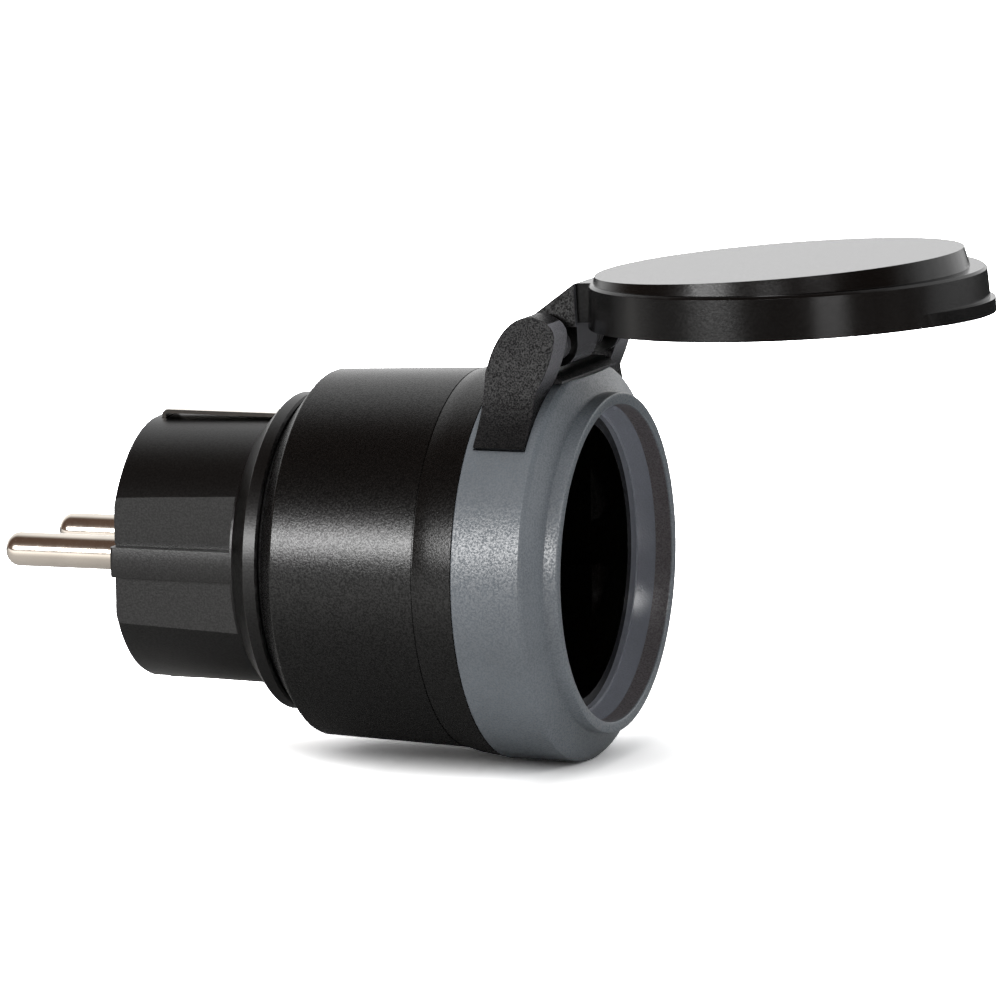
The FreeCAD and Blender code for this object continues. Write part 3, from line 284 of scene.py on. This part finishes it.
def plated(name, code, roughness):
    """A bright metal finish: its colour is a little duller in broad patches, with fine marks."""
    material, tree, shader, place = new_material(name)
    marks = node(tree, "ShaderNodeTexNoise", {
        "Vector": place, "Scale": POLISHING_MARKS, "Detail": 3.0})
    broad = node(tree, "ShaderNodeTexNoise", {
        "Vector": place, "Scale": DULLER_PATCHES, "Detail": 3.0})
    base = colour(code)
    duller = [c * DULLER for c in base[:3]] + [1]
    tint = node(tree, "ShaderNodeValToRGB", {"Fac": broad.outputs["Fac"]},
                stops=[(0.3, duller), (0.7, base)])
    gloss = node(tree, "ShaderNodeMapRange", {
        "Value": marks.outputs["Fac"],
        "To Min": roughness * (1 - MARK_SWING), "To Max": roughness * (1 + MARK_SWING)})
    bump = node(tree, "ShaderNodeBump", {
        "Height": marks.outputs["Fac"], "Distance": MARK_DEPTH * MM})
    fill(tree, shader, {
        "Base Color": tint.outputs["Color"], "Roughness": gloss.outputs["Result"],
        "Normal": bump.outputs["Normal"], "Metallic": 1.0})
    return material


# Polished nickel gives a mirror that is slightly warm.
nickel = plated("nickel_plate_polished", "#efe6da", 0.17)

# The dome is a quarter of an arc in steps of ten degrees, from the flat at the pin's end.
tip_arc = [(-PIN_LENGTH + TIP_LENGTH * (1 - math.cos(a)),
            TIP_FLAT + (PIN_RADIUS - TIP_FLAT) * math.sin(a))
           for a in [math.radians(d) for d in range(0, 91, 10)]]
for side, name in ((1, "line"), (-1, "neutral")):
    pin = turned(name + "_plug_pin", tip_arc + [(PIN_ROOT, PIN_RADIUS)], steps=PIN_STEPS)
    use_only(pin)
    bpy.ops.transform.translate(value=(0, side * PIN_SPACING / 2 * MM, 0))
    bpy.ops.object.transform_apply(location=True, rotation=False, scale=False)
    softened(pin)
    finish_piece(pin, nickel, "chassis", name + "_pin")


# The two earth clips, above and below the plug: strips stamped from nickel-plated sheet, with a
# leg bent inwards at each end that holds them in the nose and meets the earth wire inside.
# Their flat faces are bright nickel. Their edges, the faces that look sideways, have a painted
# shade: a darker base colour.
def refinish(material, *names):
    """Give CAD nodes that keep their own shape another material."""
    for name in names:
        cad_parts[name].data.materials.clear()
        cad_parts[name].data.materials.append(material)


# A Mix node's sockets go by number. These are its kind, its two inputs and its output.
FOR_VALUES = ("FLOAT", 2, 3, 0)
FOR_COLOURS = ("RGBA", 6, 7, 2)


def masked(material, socket, mask, value):
    """Give one of a material's sockets another value or colour wherever a mask is 1."""
    tree = material.node_tree
    target = tree.nodes["Principled BSDF"].inputs[socket]
    usual = target.links[0].from_socket
    kind, first, second, out = FOR_COLOURS if target.type == "RGBA" else FOR_VALUES
    mix = node(tree, "ShaderNodeMix", {"Factor": mask, first: usual, second: value},
               data_type=kind)
    tree.links.new(mix.outputs[out], target)


FLAT_FACING = 0.95      # how nearly upright a face's normal is on the strip's flat side
strip_nickel = plated("nickel_plate_strip", "#efe6da", 0.2)
tree = strip_nickel.node_tree
facing = node(tree, "ShaderNodeTexCoord").outputs["Normal"]
upward = node(tree, "ShaderNodeSeparateXYZ", {"Vector": facing}).outputs["Z"]
upright = node(tree, "ShaderNodeMath", {0: upward}, operation="ABSOLUTE").outputs[0]
# Faces that don't look straight up or down get a painted shade, a darker base colour.
painted_shade_sides = node(tree, "ShaderNodeMath", {0: upright, 1: FLAT_FACING}, operation="LESS_THAN")
masked(strip_nickel, "Base Color", painted_shade_sides.outputs[0], colour("#4a4744"))
refinish(strip_nickel, "upper_earth_clip", "lower_earth_clip")


# The three black rubber seals: a washer between flange and body, a ring between body and front
# ring, and a flat one inside the lid. The screws press the first two. Outside, only a dark edge
# shows, matt with a faint bloom in patches.
seal_rubber = moulded("black_seal_rubber", "#0a0a0a", 0.7, 0.25, 0.01, mottling=0.4, specular=0.3)
refinish(seal_rubber, "rear_seal", "body_gasket", "lid_gasket")


# The body: a black nylon tube with a chamfered rear edge, drafted sides and a flare in front.
# It is clamped between the flange's washer and the front ring, and where the two halves of its
# mould meet, a fine witness line goes round it.
BODY_REAR = 24.3
BODY_HOLE = 18.3
BODY_FLOOR = 26.7       # where the floor ends inside
BODY_BORE = 23.6
BODY_CREASE = 48.4
FLARE = 27.6
RING_REAR = 54.6
body = turned("body_housing", [
    (BODY_REAR, BODY_HOLE), (BODY_REAR, 22.1),                          # the rear face
    (BODY_REAR + 0.2, 22.45), (26.85, 25.35), (27.0, 25.5),             # the chamfer
    (27.25, 25.6), (38.0, 26.03), (BODY_CREASE - 0.1, 26.45),           # the drafted side
    (BODY_CREASE - 0.07, 26.33), (BODY_CREASE + 0.07, 26.33),           # the witness line
    (BODY_CREASE + 0.1, 26.47), (49.4, 26.72), (51.0, 27.1),            # the flare
    (RING_REAR - 0.12, FLARE), (RING_REAR, FLARE - 0.15),               # its front edge
    (RING_REAR, BODY_BORE), (BODY_FLOOR, BODY_BORE),                    # the bore
    (BODY_FLOOR, BODY_HOLE), (BODY_REAR, BODY_HOLE),                    # the hole in the floor
])
softened(body)

# The body's nylon is a little glossier than the plug's, and its grain catches the lamps.
black_body = moulded("black_nylon_body", "#050505", 0.27, ERODED_GRAIN, 0.019, sparkle=0.36)
finish_piece(body, black_body, "chassis", "body_shell")


# The pieces inside: the board with the parts soldered to it, the stamped contacts, the earth
# strip and its wires, the shutter's spring and the four long screws that hold the stack together.
# They keep their CAD shapes and show only in an opened model.

# Zinc plate: pale grey, with a soft gleam.
refinish(plated("zinc_plated_steel", "#b9bab8", 0.3), "assembly_screws", "shutter_spring")
# The earth strip's nickel is like that of the pins.
refinish(nickel, "earth_bridge")
# Stamped brass: a warm yellow metal, a little dull.
refinish(plated("stamped_brass", "#c8a050", 0.25), "line_contact", "neutral_contact")
# Solder resist on glass fibre: a dark green lacquer with a slight gloss.
refinish(moulded("green_solder_resist", "#0d4a26", 0.3, 0.6, 0.004),
         "circuit_board", "receiver_module")
# Moulded black epoxy: nearly matt, with a fine grain.
refinish(moulded("black_epoxy_case", "#101010", 0.35, 0.4, 0.008),
         "relay", "fuse", "controller_chip")
# Epoxy that a part was dipped in: a blue skin, glossy and slightly uneven.
refinish(moulded("blue_epoxy_dip", "#1b3c7a", 0.3, 0.8, 0.006), "varistor")
# A film capacitor's box: plain yellow plastic with a dull sheen.
refinish(moulded("yellow_film_case", "#c9a02c", 0.35, 0.6, 0.006), "filter_capacitor")
# A drawn aluminium can: grey, with a soft gleam.
refinish(plated("aluminium_can", "#6c6d70", 0.3), "reservoir_capacitor")
# A wire's soft plastic cover: green and half matt.
refinish(moulded("green_wire_cover", "#3f8a2b", 0.5, 0.4, 0.005),
         "upper_earth_wire", "lower_earth_wire")
# Lacquered copper wire: reddish, with a clear gleam.
refinish(plated("enamelled_copper", "#b86b3c", 0.25), "receiver_antenna")


# The front ring: grey nylon with a flat and a groove for the hinge bracket, a conical face and a
# collar round the mouth. The screws clamp it between the insert and the body's rubber gasket.
RING = 27.7
RING_FRONT = 64.95
RING_BORE = 21.5
COLLAR = 23.65
COLLAR_ROOT = 66.6
RIM = 68.7
MOUTH = 22.0
THROAT_FRONT = 66.1
THROAT_REAR = 63.7
THROAT_END = 21.35
LEDGE = 20.9            # the lip that holds the insert
LEDGE_REAR = 62.9
HINGE_FLAT = 26.2       # height of the flat that the bracket's plate lies on
PAST_RING = 35.0        # where a cutter ends, clear of the ring
ring = turned("grey_front_ring", [
    (RING_REAR, RING_BORE), (RING_REAR, RING - 0.15), (RING_REAR + 0.15, RING),     # the rear
    (RING_FRONT - 0.55, RING), (RING_FRONT - 0.1, RING - 0.35),                     # the side
    (RING_FRONT + 0.1, RING - 0.75), (COLLAR_ROOT - 0.12, COLLAR + 0.25),           # the cone
    (COLLAR_ROOT + 0.1, COLLAR), (RIM - 0.35, COLLAR), (RIM - 0.1, COLLAR - 0.1),   # the collar
    (RIM, COLLAR - 0.35), (RIM, MOUTH + 0.35), (RIM - 0.1, MOUTH + 0.1),            # the rim
    (RIM - 0.35, MOUTH), (THROAT_FRONT, MOUTH), (THROAT_REAR, THROAT_END),          # the mouth
    (THROAT_REAR, LEDGE), (LEDGE_REAR, LEDGE), (LEDGE_REAR, RING_BORE),             # the ledge
    (RING_REAR, RING_BORE),
])
cut(ring, block("flat_cutter", (RING_REAR - 1.0, -PAST_RING, HINGE_FLAT),
                (COLLAR_ROOT + 0.1, PAST_RING, PAST_RING)))

# The hinge bracket's seat is a groove round the upper part of the ring, down to the ears' feet.
SEAT_REAR, SEAT_FRONT = 55.65, 63.25
SEAT_RADIUS, SEAT_OUTSIDE = 26.7, 30.0
SEAT_LOW = 18.1         # height at which the groove ends on either side
groove = turned("groove_cutter", [
    (SEAT_REAR, SEAT_RADIUS), (SEAT_REAR, SEAT_OUTSIDE), (SEAT_FRONT, SEAT_OUTSIDE),
    (SEAT_FRONT, SEAT_RADIUS), (SEAT_REAR, SEAT_RADIUS),
])
cut(groove, block("groove_limit", (RING_REAR, -PAST_RING, -PAST_RING),
                  (RIM, PAST_RING, SEAT_LOW)))
cut(ring, groove)
softened(ring)

# Grey nylon with the same eroded grain as the black: a soft sheen with bright single grains.
# The mouth's bore has a painted shade, a darker base colour. Behind it the throat is glossy,
# since the core pin was polished, and has painted light, a paler base colour.
# The masks reach a hair past the mouth's wall and its step, so that these count as inside.
HAIR = 0.03
grey_nylon = moulded("grey_nylon_eroded", "#5f6469", 0.33, ERODED_GRAIN, 0.03,
                     specular=0.42, sparkle=0.8)
tree = grey_nylon.node_tree
place = node(tree, "ShaderNodeTexCoord").outputs["Object"]
across = node(tree, "ShaderNodeVectorMath", {0: place, 1: (0, 1, 1)}, operation="MULTIPLY")
radius = node(tree, "ShaderNodeVectorMath", {0: across.outputs["Vector"]}, operation="LENGTH")
depth = node(tree, "ShaderNodeSeparateXYZ", {"Vector": place}).outputs["X"]
behind_step = node(tree, "ShaderNodeMath", {0: depth, 1: (THROAT_FRONT + HAIR) * MM},
                   operation="LESS_THAN").outputs[0]
in_mouth = node(tree, "ShaderNodeMath", {0: radius.outputs["Value"], 1: (MOUTH + HAIR) * MM},
                operation="LESS_THAN").outputs[0]
in_throat = node(tree, "ShaderNodeMath", {0: behind_step, 1: in_mouth},
                 operation="MULTIPLY").outputs[0]
# Painted shade in the bore and painted light in the throat, both as base colours.
masked(grey_nylon, "Base Color", in_mouth, colour("#565254"))
masked(grey_nylon, "Base Color", in_throat, colour("#74777f"))
masked(grey_nylon, "Roughness", in_throat, 0.07)
finish_piece(ring, grey_nylon, "chassis", "front_ring")


# The socket insert: a black nylon moulding with the round recess, its two keys and its two
# contact holes. The four screws end in the bosses behind it. The shutter and the contact
# carrier, which show through its holes, are of the same nylon here.
COPLANAR = math.radians(1)


def softened_copy(name, source, width=0):
    """A copy of a CAD node with its triangles merged into faces and its edges rounded."""
    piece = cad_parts[source].copy()
    piece.data = piece.data.copy()
    piece.name = name
    piece.parent = None
    for key in list(piece.keys()):
        del piece[key]
    bpy.context.scene.collection.objects.link(piece)
    use_only(piece)
    bpy.ops.object.mode_set(mode="EDIT")
    bpy.ops.mesh.select_all(action="SELECT")
    bpy.ops.mesh.remove_doubles(threshold=WELD)
    bpy.ops.mesh.dissolve_limited(angle_limit=COPLANAR)
    bpy.ops.object.mode_set(mode="OBJECT")
    softened(piece, width, angle=30)
    return piece


# Black nylon from a polished mould: deep black, with a clear reflection.
smooth_black = moulded("black_nylon_smooth", "#030303", 0.2, 0.5, 0.003, sparkle=0.1)
insert = softened_copy("recess_insert", "socket_insert", 0.15)
finish_piece(insert, smooth_black, "chassis", "socket_insert")
refinish(smooth_black, "contact_shutter", "contact_carrier")


# The hinge bracket: a black nylon moulding, with a saddle in the ring's groove, a plate on its
# flat and two leaning ears for the hinge pin. Its mould has a coarser grain than the others.
FORWARD = 0.6                       # how far forward a face's normal points on a front face
PAINTED_REFLECTION_FROM, PAINTED_REFLECTION_FULL = 24.5, 29.0   # heights at which the painted reflection begins and is full


def painted_reflection_fronts(material, code, limit=None):
    """Paint a reflection on the upper faces that look forward, as a paler base, if asked only
    behind a limit of X.
    """
    tree = material.node_tree
    sources = node(tree, "ShaderNodeTexCoord").outputs
    forward = node(tree, "ShaderNodeSeparateXYZ", {"Vector": sources["Normal"]}).outputs["X"]
    mask = node(tree, "ShaderNodeMath", {0: forward, 1: FORWARD},
                operation="GREATER_THAN").outputs[0]
    where = node(tree, "ShaderNodeSeparateXYZ", {"Vector": sources["Object"]}).outputs
    high = node(tree, "ShaderNodeMapRange", {
        "Value": where["Z"], "From Min": PAINTED_REFLECTION_FROM * MM, "From Max": PAINTED_REFLECTION_FULL * MM})
    mask = node(tree, "ShaderNodeMath", {0: mask, 1: high.outputs["Result"]},
                operation="MULTIPLY").outputs[0]
    if limit:
        behind = node(tree, "ShaderNodeMath", {0: where["X"], 1: limit * MM},
                      operation="LESS_THAN").outputs[0]
        mask = node(tree, "ShaderNodeMath", {0: mask, 1: behind},
                    operation="MULTIPLY").outputs[0]
    masked(material, "Base Color", mask, colour(code))


# The coarse grain breaks the light into grey specks, and the upper faces that look forward have a
# painted reflection, a paler base colour.
# The real grain is about 0.15 mm wide. It is drawn at 0.22 mm, because a finer one doesn't show.
coarse_black = moulded("black_nylon_coarse", "#121213", 0.38, 0.22, 0.09, mottling=0.5,
                       specular=0.19, sparkle=0.9)
painted_reflection_fronts(coarse_black, "#626266")
bracket = softened_copy("hinge_saddle", "hinge_bracket", 0.5)
finish_piece(bracket, coarse_black, "chassis", "hinge_bracket")


# The hinge pin and its torsion spring: drawn steel, phosphated, which gives a dark, soft gleam.
# The pin is pushed in from the far ear, and the spring's coils sit round it with a leg each end.
phosphated = plated("phosphated_spring_steel", "#3a3a3c", 0.4)
refinish(phosphated, "hinge_pin", "hinge_spring")


# The lid: one black nylon moulding, with a stepped round cap, a thumb tab and an arm whose two
# lugs turn on the hinge pin. The crown's edge is rounded more than the others.
LID_TILT = math.radians(-2.17)      # how far the open lid's crown is from level
CROWN_BAND = 0.02                   # points this near the crown's plane are on its edge
CROWN_ROUNDING = 0.9
CROWN_STEPS = 4
LID_NECK = 66.6                     # where the arm joins the cap
LUG_SIDE = 9.3                      # from the middle to a lug's outer cheek
lid = softened_copy("lid_cap", "lid")
crown_normal = Vector((math.sin(LID_TILT), 0, math.cos(LID_TILT)))
heights = [vertex.co.dot(crown_normal) for vertex in lid.data.vertices]
crown_edge = [i for i, height in enumerate(heights) if height > max(heights) - CROWN_BAND * MM]
lid.vertex_groups.new(name="crown_edge").add(crown_edge, 1.0, "REPLACE")
use_only(lid)
rounding = lid.modifiers.new("crown_edge", "BEVEL")
rounding.limit_method = "VGROUP"
rounding.vertex_group = "crown_edge"
rounding.width = CROWN_ROUNDING * MM
rounding.segments = CROWN_STEPS
bpy.ops.object.modifier_apply(modifier=rounding.name)
lid.vertex_groups.clear()
softened(lid, 0.3)

# Black nylon from a smooth mould: glossy, with a faint unevenness in what it mirrors. The lugs
# have a coarse grain like the bracket's ears, up to the neck of the lid, also drawn coarser
# than it is.
LUG_GRAIN = 0.2
LUG_ROUGHNESS = 0.42
LUG_SHINE = (0.08, 0.5)             # between the lugs' grains and on them
lid_nylon = moulded("dark_nylon_lid", "#050505", 0.22, 0.35, 0.007, sparkle=0.08)
tree = lid_nylon.node_tree
place = node(tree, "ShaderNodeTexCoord").outputs["Object"]
split = node(tree, "ShaderNodeSeparateXYZ", {"Vector": place}).outputs
near_hinge = node(tree, "ShaderNodeMath", {0: split["X"], 1: LID_NECK * MM},
                  operation="LESS_THAN").outputs[0]
sideways = node(tree, "ShaderNodeMath", {0: split["Y"]}, operation="ABSOLUTE").outputs[0]
on_cheek = node(tree, "ShaderNodeMath", {0: sideways, 1: LUG_SIDE * MM},
                operation="GREATER_THAN").outputs[0]
on_lug = node(tree, "ShaderNodeMath", {0: near_hinge, 1: on_cheek},
              operation="MULTIPLY").outputs[0]
grain = node(tree, "ShaderNodeTexNoise", {
    "Vector": place, "Scale": 1 / (LUG_GRAIN * MM), **GRAIN_NOISE})
glint = node(tree, "ShaderNodeMapRange", {
    "Value": grain.outputs["Fac"], "From Min": GRAIN_LOW, "From Max": GRAIN_HIGH,
    "To Min": LUG_SHINE[0], "To Max": LUG_SHINE[1]})
masked(lid_nylon, "Specular IOR Level", on_lug, glint.outputs["Result"])
masked(lid_nylon, "Roughness", on_lug, LUG_ROUGHNESS)
# The arm's upper faces that look forward, behind the neck, get a painted reflection: a paler base
# colour.
painted_reflection_fronts(lid_nylon, "#444447", LID_NECK)
finish_piece(lid, lid_nylon, "lid", "lid")


# The studio: a white paper floor and a pale dome, lit by a soft strip at the camera's left, a
# small window high above the camera, and a weaker strip at its right.
def lamp(name, place, aim, size, power):
    """A soft rectangular lamp aimed at a point, in metres and watts."""
    data = bpy.data.lights.new(name, "AREA")
    data.shape = "RECTANGLE"
    data.size, data.size_y = size
    data.energy = power
    holder = bpy.data.objects.new(name, data)
    bpy.context.scene.collection.objects.link(holder)
    toward = Vector(aim) - Vector(place)
    holder.rotation_mode = "QUATERNION"
    holder.rotation_quaternion = toward.to_track_quat("-Z", "Y")
    holder.location = place
    holder.visible_diffuse = False


lamp("left_strip", (-0.42, -1.05, 0.27), aim=(0.04, 0, 0), size=(0.5, 0.2), power=11)
lamp("high_window", (0.27, -1.1, 0.8), aim=(0.066, 0, 0), size=(0.3, 0.24), power=5.0)
lamp("right_strip", (0.86, -0.84, 0.25), aim=(0.05, 0, 0), size=(0.36, 0.35), power=1.8)

# The dome is plain white to the camera and brighter overhead to matt surfaces. Mirrored in
# gloss, it is dark and warm in front of the object and white behind it.
WHITE = (1, 1, 1, 1)
DARK_WARM = (0.1, 0.065, 0.05, 1)
WHITE_BEHIND = 0.55                 # how far back the mirrored dome is fully white
GLOSS_LOW, GLOSS_HIGH = 1.4, 1.1    # its brightness in gloss, low down and overhead
MATT_LOW, MATT_RISE = 0.5, 2.0      # its brightness on matt surfaces, and how that rises
_, COLOUR_A, COLOUR_B, COLOUR_OUT = FOR_COLOURS
world = bpy.data.worlds.new("studio")
bpy.context.scene.world = world
world.use_nodes = True
tree = world.node_tree
ray = node(tree, "ShaderNodeLightPath").outputs
way = node(tree, "ShaderNodeTexCoord").outputs["Generated"]
split = node(tree, "ShaderNodeSeparateXYZ", {"Vector": way}).outputs
behind = node(tree, "ShaderNodeMapRange", {
    "Value": split["Y"], "From Min": 0.0, "From Max": WHITE_BEHIND,
    "To Min": 0.0, "To Max": 1.0}, interpolation_type="SMOOTHSTEP")
low = node(tree, "ShaderNodeMapRange", {
    "Value": split["Z"], "From Min": 0.12, "From Max": 0.5,
    "To Min": GLOSS_LOW, "To Max": GLOSS_HIGH}, interpolation_type="SMOOTHSTEP")
mirrored = node(tree, "ShaderNodeValToRGB", {"Fac": behind.outputs["Result"]},
                stops=[(0.0, DARK_WARM), (1.0, WHITE)])
shown = node(tree, "ShaderNodeMix", {
    "Factor": ray["Is Glossy Ray"], COLOUR_A: WHITE, COLOUR_B: mirrored.outputs["Color"]},
    data_type="RGBA")
shine = node(tree, "ShaderNodeMath", {0: ray["Is Glossy Ray"], 1: low.outputs["Result"]},
             operation="MULTIPLY")
height = node(tree, "ShaderNodeMath", {0: split["Z"], 1: 2.0}, operation="POWER")
dome = node(tree, "ShaderNodeMath", {0: height.outputs[0], 1: MATT_RISE, 2: MATT_LOW},
            operation="MULTIPLY_ADD")
spread = node(tree, "ShaderNodeMath", {0: ray["Is Diffuse Ray"], 1: dome.outputs[0]},
              operation="MULTIPLY")
on_object = node(tree, "ShaderNodeMath", {0: shine.outputs[0], 1: spread.outputs[0]},
                 operation="MAXIMUM")
level = node(tree, "ShaderNodeMath", {0: ray["Is Camera Ray"], 1: on_object.outputs[0]},
             operation="MAXIMUM")
fill(tree, tree.nodes["Background"], {
    "Color": shown.outputs[COLOUR_OUT], "Strength": level.outputs[0]})

# The paper floor lies just under the ring. To the camera it has painted light and shade along X
# that shape its shadow: it is whitest under the plug and darkest under the ring's front. What
# gloss mirrors of it is dark in front, then a bright band, then a painted shade round the object,
# and black behind.
FLOOR_Z = -27.75
FLOOR_SIZE = 6          # metres
PAPER = (0.88, 0.88, 0.88, 1)
FLOOR_BRIGHTNESS = 4.0
MIRRORED_SPAN = (-0.5, 0.25)    # metres along Y
PAINTED_SHADE_SPAN = (0.0, 0.1)           # metres along X
bpy.ops.object.select_all(action="DESELECT")
bpy.ops.mesh.primitive_plane_add(size=FLOOR_SIZE, location=(0, 0, FLOOR_Z * MM))
floor = bpy.context.object
floor.name = "floor"
sweep, tree, _, place = new_material("white_sweep")
ray = node(tree, "ShaderNodeLightPath").outputs
split = node(tree, "ShaderNodeSeparateXYZ", {"Vector": place}).outputs
backward = node(tree, "ShaderNodeMapRange", {
    "Value": split["Y"], "From Min": MIRRORED_SPAN[0], "From Max": MIRRORED_SPAN[1]})
# What gloss mirrors: a painted shade near the object, between a bright band and black behind.
mirrored = node(tree, "ShaderNodeValToRGB", {"Fac": backward.outputs["Result"]}, stops=[
    (0.07, (0.15, 0.147, 0.144, 1)), (0.29, (0.5, 0.49, 0.48, 1)),
    (0.4, (1.0, 0.98, 0.96, 1)), (0.53, (0.9, 0.88, 0.86, 1)),
    (0.61, (0.42, 0.41, 0.4, 1)), (0.73, (0.28, 0.28, 0.28, 1)),
    (0.83, (0.02, 0.02, 0.02, 1))])
paper = node(tree, "ShaderNodeMix", {
    "Factor": ray["Is Glossy Ray"], COLOUR_A: PAPER, COLOUR_B: mirrored.outputs["Color"]},
    data_type="RGBA")
along = node(tree, "ShaderNodeMapRange", {
    "Value": split["X"], "From Min": PAINTED_SHADE_SPAN[0], "From Max": PAINTED_SHADE_SPAN[1]})
# Painted light and shade along X, to the camera: white under the plug, darkest under the ring's
# front.
painted_shade_along_x = node(tree, "ShaderNodeValToRGB", {"Fac": along.outputs["Result"]}, stops=[
    (position, (grey, grey, grey, 1)) for position, grey in (
        (0.2, 1.0), (0.3, 0.76), (0.4, 0.55), (0.56, 0.5), (0.65, 0.33), (0.85, 0.45))])
painted_shade_paper = node(tree, "ShaderNodeVectorMath", {
    0: painted_shade_along_x.outputs["Color"], "Scale": FLOOR_BRIGHTNESS}, operation="SCALE")
seen = node(tree, "ShaderNodeMix", {
    "Factor": ray["Is Camera Ray"], COLOUR_A: paper.outputs[COLOUR_OUT],
    COLOUR_B: painted_shade_paper.outputs["Vector"]}, data_type="RGBA")
diffuse = node(tree, "ShaderNodeBsdfDiffuse", {"Color": seen.outputs[COLOUR_OUT]})
fill(tree, tree.nodes["Material Output"], {"Surface": diffuse.outputs[0]})
floor.data.materials.append(sweep)


# The camera: it stands at the plug's right, as in the photograph, with a long lens.
# The small shifts put the lens's axis where the photograph has it.
YAW, PITCH, ROLL = (math.radians(a) for a in (21.25, 8.2, -0.89))
CAMERA_PLACE = (0.61481, -1.44937, 0.23254)     # metres
FOCAL_PIXELS = 11318.92
CENTRE = (498.71, 497.82)                       # the pixel that the lens's axis meets
PIXELS = 1000
SENSOR = 36.0
FAR = 20.0                                      # metres
ahead = Vector((-math.sin(YAW) * math.cos(PITCH), math.cos(YAW) * math.cos(PITCH),
                -math.sin(PITCH)))
right = Vector((math.cos(YAW), math.sin(YAW), 0))
up = right.cross(ahead)
rolled_right = math.cos(ROLL) * right + math.sin(ROLL) * up
rolled_up = -math.sin(ROLL) * right + math.cos(ROLL) * up
camera = bpy.data.objects.new("camera", bpy.data.cameras.new("camera"))
bpy.context.scene.collection.objects.link(camera)
camera.matrix_world = Matrix.Translation(CAMERA_PLACE) @ Matrix(
    (rolled_right, rolled_up, -ahead)).transposed().to_4x4()
camera.data.sensor_width = SENSOR
camera.data.lens = FOCAL_PIXELS / PIXELS * SENSOR
camera.data.shift_x = (PIXELS / 2 - CENTRE[0]) / PIXELS
camera.data.shift_y = (CENTRE[1] - PIXELS / 2) / PIXELS
camera.data.clip_end = FAR
bpy.context.scene.camera = camera
bpy.context.scene.view_settings.view_transform = "Standard"
